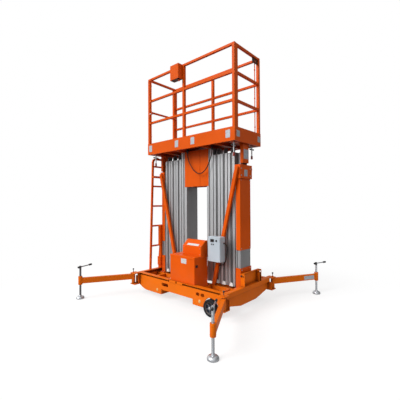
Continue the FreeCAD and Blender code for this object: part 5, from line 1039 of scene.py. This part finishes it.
plate = linkPlate(chainValues)
count = int((mastValues["wheelZ"] - chainValues["low"]) / chainValues["pitch"])
for stage in (1, 2, 3):
    body = "stage_%d" % stage
    start = mastValues["inner"] + (4 - stage) * mastValues["pitch"]
    middles = [side * (start + mastValues["width"] / 2) for side in bothWays]
    links = [repeated(plate, spots(middle + np.array(row), chainValues["y"],
                                   chainValues["low"] + (np.arange(count) + shift) * chainValues["pitch"]))
             for middle in middles for shift, row in chainValues["rows"].items()]
    makePiece("chainLinks%d" % stage, links, body, "black_steel", sharp=50)
    makePiece("slidePads%d" % stage, [sliderPad(middle, padValues) for middle in middles], body, whiteNylon,
              bevel=0.0012)
    metal = [(lathe, spots(np.array(middles) + face * mastValues["cheekOut"], mastValues["wheelY"],
                           mastValues["wheelZ"]), (face, 0, 0), mastValues["axleEnd"], 20) for face in bothWays]
    pinSpots = spots(np.array(middles) - chainValues["pinHalf"], chainValues["y"], chainValues["pinLevels"])
    metal.append((rod, pinSpots, toRight, chainValues["pin"], 2 * chainValues["pinHalf"], 10))
    makeFittings(body, {"chainPins%d" % stage: ("steel", metal, ("metal", chainSteel))})
print("masts dressed")

# chassis: bolts, blank plates, power unit, console, control box, ladder welds

sideBolts = {  # by size: distance out, places across, places up
    0.0075: (0.740, (-0.072, 0.126), (1.642, 1.727)),
    0.0048: (0.724, (-0.058, 0.133), (0.742, 1.585)),
    0.0065: (0.728, (-0.058, 0.133), 0.478),
}
bracketBolts = [(bolt, spots(side * out, y, z), (side, 0, 0), size)
                for side in bothWays for size, (out, y, z) in sideBolts.items()]
bracketBolts.append((bolt, spots((-0.708, -0.668, 0.668, 0.708), (-0.100, 0.174), 0.255), upward, 0.0075))

console = {"middle": (0.141, -0.2815, 0.7835), "slope": (0.0, 0.093, 0.077), "cover": 0.0016, "corner": 0.006}
slopeUp, slopeMiddle = unit(console["slope"]), np.array(console["middle"])
slopeOut = np.cross(toRight, slopeUp)
coverTop = slopeMiddle + slopeOut * console["cover"]
slopeScrews = [coverTop + slopeUp * rise + (x, 0, 0) for x in (-0.144, 0.144) for rise in (-0.046, 0.046)]
lidFace = -0.2686

ladder = {"x": -0.7875, "foot": 0.260, "head": 0.205, "footLevel": 0.300, "springLevel": 1.920, "first": 0.650,
          "pitch": 0.303, "rungs": 5, "stileHalf": 0.0148, "rung": 0.0132, "bead": 0.0022}
rungLevels = ladder["first"] + np.arange(ladder["rungs"]) * ladder["pitch"]
rungShares = (rungLevels - ladder["footLevel"]) / (ladder["springLevel"] - ladder["footLevel"])
rungEnds = ladder["foot"] + (ladder["head"] - ladder["foot"]) * rungShares - ladder["stileHalf"]
rungSpots = [(ladder["x"], side * y, z) for y, z in zip(rungEnds, rungLevels) for side in bothWays]

makeFittings("chassis", {
    "castorBolts": ("steel", [
        (bolt, spots((-0.636, -0.564), (-0.336, -0.264, 0.264, 0.336), 0.187), downward, 0.0055)]),
    "bracketBolts": ("steel", bracketBolts),
    "bracketPlate": (plateFilm, [(slab, spots(0.7401, 0.028, 1.674), toBack, upward, 0.074, 0.082, 0.0014)]),
    "skirtDiscs": (amberDisc, [
        (lathe, ((-0.371, -0.474, 0.124), (0.405, -0.474, 0.134)), toFront,
         ((-0.001, 0), (-0.001, 0.019), (0.0014, 0.019), (0.002, 0.018), (0.002, 0)), 32)]),
    "towKnob": ("black_plastic", [
        (lathe, spots(0.769, -0.142, 0.428), toBack,
         ((0, 0), (0, 0.006), (0.0015, 0.0088), (0.0065, 0.0098), (0.018, 0.0098), (0.0200, 0.0085), (0.0200, 0)),
         24)]),
    "powerLid": ("paint", [(block, spots(-0.1345, -0.4515, 0.606), (0.3035, -0.205, 0.6345))], ("bevel", 0.004)),
    "powerPlate": (whitePlate, [(slab, spots(0.117, -0.4501, 0.572), toRight, upward, 0.094, 0.062, 0.0012)]),
    "powerLock": ("black_plastic", [
        (slab, spots(0.302, -0.411, 0.523), toBack, upward, 0.040, 0.030, 0.006, 0.006),
        (lathe, spots(0.3075, -0.411, 0.523), toRight, ((0, 0), (0, 0.009), (0.003, 0.0085), (0.003, 0)), 24)],
        ("bevel", 0.0006)),
    "powerHinges": ("steel", [(rod, spots((-0.102, 0.228), -0.2038, 0.606), toRight, 0.0045, 0.044, 14)]),
    "consoleCover": ("paint", [(slab, [slopeMiddle], toRight, slopeUp, 0.306, 0.108, console["cover"],
                                console["corner"])]),
    "consolePlate": (whitePlate, [
        (slab, [coverTop + slopeOut * 0.0001 - slopeUp * 0.028 + (0.003, 0, 0)], toRight, slopeUp, 0.200, 0.034,
         0.0010)]),
    "consoleScrews": ("steel", [(bolt, slopeScrews, slopeOut, 0.0032),
                                (bolt, spots((0.000, 0.282), -0.328, (0.652, 0.728)), toFront, 0.0034)]),
    "controlLid": ("grey_paint", [
        (slab, spots(0.458, -0.2651, 0.730), toRight, upward, 0.186, 0.300, 0.0035, 0.009)], ("bevel", 0.0008)),
    "controlDisplayFrame": ("black_plastic", [
        (frameStrip, spots(0.436, lidFace, 0.838), toRight, upward, 0.058, 0.036, 0.006, 0.0026)]),
    "controlDisplay": (displayGlass, [
        (slab, spots(0.436, lidFace, 0.838), toRight, upward, 0.048, 0.026, 0.0012, 0.002)]),
    "controlDial": ("black_plastic", [
        (lathe, spots(0.500, lidFace, 0.838), toFront,
         ((0, 0), (0, 0.0125), (0.003, 0.0125), (0.003, 0.0085), (0.011, 0.0075), (0.012, 0.0065), (0.012, 0)),
         24)]),
    "controlButtons": ("black_plastic", [
        (lathe, spots((0.424, 0.452), lidFace, 0.792), toFront,
         ((0, 0), (0, 0.0090), (0.0022, 0.0090), (0.0022, 0.0062), (0.0058, 0.0062), (0.0066, 0.0050),
          (0.0066, 0)), 20)]),
    "controlScrews": ("steel", [(bolt, spots((0.376, 0.540), lidFace, (0.591, 0.869)), toFront, 0.0036)]),
    "leadGlands": ("black_plastic", [
        (lathe, spots(0.5555, -0.190, 0.806), toRight,
         ((-0.001, 0), (-0.001, 0.0105), (0.007, 0.0105), (0.0085, 0.0085), (0.015, 0.0075), (0.017, 0.0056),
          (0.017, 0)), 8),
        (lathe, spots(0.4175, -0.1145, 0.5085), (0.0276, -0.010, 0.004),
         ((0, 0), (0, 0.009), (0.010, 0.009), (0.013, 0.0058), (0.013, 0)), 12)]),
    "ladderWelds": ("paint", [
        (ringBead, rungSpots, toBack, ladder["rung"], ladder["bead"], 20),
        (weldRing, spots(ladder["x"], (-ladder["foot"], ladder["foot"]), 0.3004), upward, 0.0140)], ("sharp", 80)),
})
print("chassis dressed")

# lamps, floor and background

lightValues = {
    "sunStrength": 2.3,
    "sunFrom": (-0.29, -0.82, 0.59),
    "sunAngle": 34,
    "ambient": 0.58,
    "mirrorFrom": (-0.52, -0.78, 0.35),
    "mirrorDark": 0.2,
    "mirrorSpan": (-0.6, 0.5),
}
floorValues = {"rings": (0.0, 2.0, 6.0, 30.0), "sink": 0.0005, "glow": 0.66, "mirror": 0.12, "farMirror": 0.48,
               "fade": (1.6, 3.2), "tones": ((0.39, 0.39, 0.39, 1), (0.41, 0.41, 0.41, 1)), "cloud": 3.0}
white = (1, 1, 1, 1)


def makeLights(values):
    # white to the camera, even to the surfaces, and darker to the right and behind in what metal mirrors
    world = bpy.data.worlds.new("studio")
    scene.world = world
    world.use_nodes = True
    tree = world.node_tree
    tree.nodes.clear()
    rays = addNode(tree, "ShaderNodeLightPath")
    seen = mathNode(tree, "MAXIMUM", rays.outputs["Is Camera Ray"], rays.outputs["Is Transmission Ray"])
    plain = spread(tree, seen, 0.0, 1.0, values["ambient"], 1.0)
    lean = addNode(tree, "ShaderNodeVectorMath", operation="DOT_PRODUCT")
    tree.links.new(addNode(tree, "ShaderNodeTexCoord").outputs["Generated"], lean.inputs[0])
    lean.inputs[1].default_value = values["mirrorFrom"]
    mirrored = spread(tree, lean.outputs["Value"], *values["mirrorSpan"], values["mirrorDark"], 1.0)
    glow = addNode(tree, "ShaderNodeBackground")
    feed(tree, glow, {"Color": white, "Strength": spread(tree, rays.outputs["Is Glossy Ray"], 0.0, 1.0, plain,
                                                         mirrored)})
    out = addNode(tree, "ShaderNodeOutputWorld")
    tree.links.new(glow.outputs[0], out.inputs["Surface"])
    sun = bpy.data.objects.new("keyLamp", bpy.data.lights.new("keyLamp", "SUN"))
    sun.data.energy = values["sunStrength"]
    sun.data.angle = math.radians(values["sunAngle"])
    sun.rotation_mode = "QUATERNION"
    sun.rotation_quaternion = Vector(values["sunFrom"]).to_track_quat("Z", "Y")
    scene.collection.objects.link(sun)


def paperMaterial(values):
    # near the lift a paper that takes shadows, further out plain white
    material = bpy.data.materials.new("floorPaper")
    material.use_nodes = True
    tree = material.node_tree
    tree.nodes.clear()
    rays = addNode(tree, "ShaderNodeLightPath")
    camera, glossy = rays.outputs["Is Camera Ray"], rays.outputs["Is Glossy Ray"]
    spot = objectSpot(tree)
    near = mathNode(tree, "ADD", mathNode(tree, "MULTIPLY", camera, values["glow"]),
                    mathNode(tree, "MULTIPLY", glossy, values["mirror"]))
    beyond = mathNode(tree, "ADD", camera, mathNode(tree, "MULTIPLY", glossy, values["farMirror"]))
    paper = addNode(tree, "ShaderNodeBsdfDiffuse")
    feed(tree, paper, {"Color": mixColour(tree, noise(tree, spot, values["cloud"]), *values["tones"])})
    glow, far = addNode(tree, "ShaderNodeEmission"), addNode(tree, "ShaderNodeEmission")
    feed(tree, glow, {"Color": white, "Strength": near})
    feed(tree, far, {"Color": white, "Strength": beyond})
    together = addNode(tree, "ShaderNodeAddShader")
    length = addNode(tree, "ShaderNodeVectorMath", operation="LENGTH")
    mix = addNode(tree, "ShaderNodeMixShader")
    out = addNode(tree, "ShaderNodeOutputMaterial")
    tree.links.new(spot, length.inputs[0])
    feed(tree, mix, {"Fac": spread(tree, length.outputs["Value"], *values["fade"])})
    for source, target in ((paper, together.inputs[0]), (glow, together.inputs[1]), (together, mix.inputs[1]),
                           (far, mix.inputs[2]), (mix, out.inputs["Surface"])):
        tree.links.new(source.outputs[0], target)
    return material


def makeFloor(values, steps=48):
    # a disc: point(r, a) = (r cos a, r sin a, -sink)
    radius = np.array(values["rings"])[:, None]
    angle = fullTurn(steps)[None, :]
    level = 0 * radius * angle - values["sink"]
    points = np.stack([radius * np.cos(angle), radius * np.sin(angle), level], axis=-1)
    mesh = bpy.data.meshes.new("floor")
    mesh.from_pydata(points.reshape(-1, 3).tolist(), [], gridQuads(len(radius), steps).tolist())
    floor = bpy.data.objects.new("floor", mesh)
    scene.collection.objects.link(floor)
    mesh.materials.append(paperMaterial(values))


makeLights(lightValues)
makeFloor(floorValues)
print("lights and floor set")
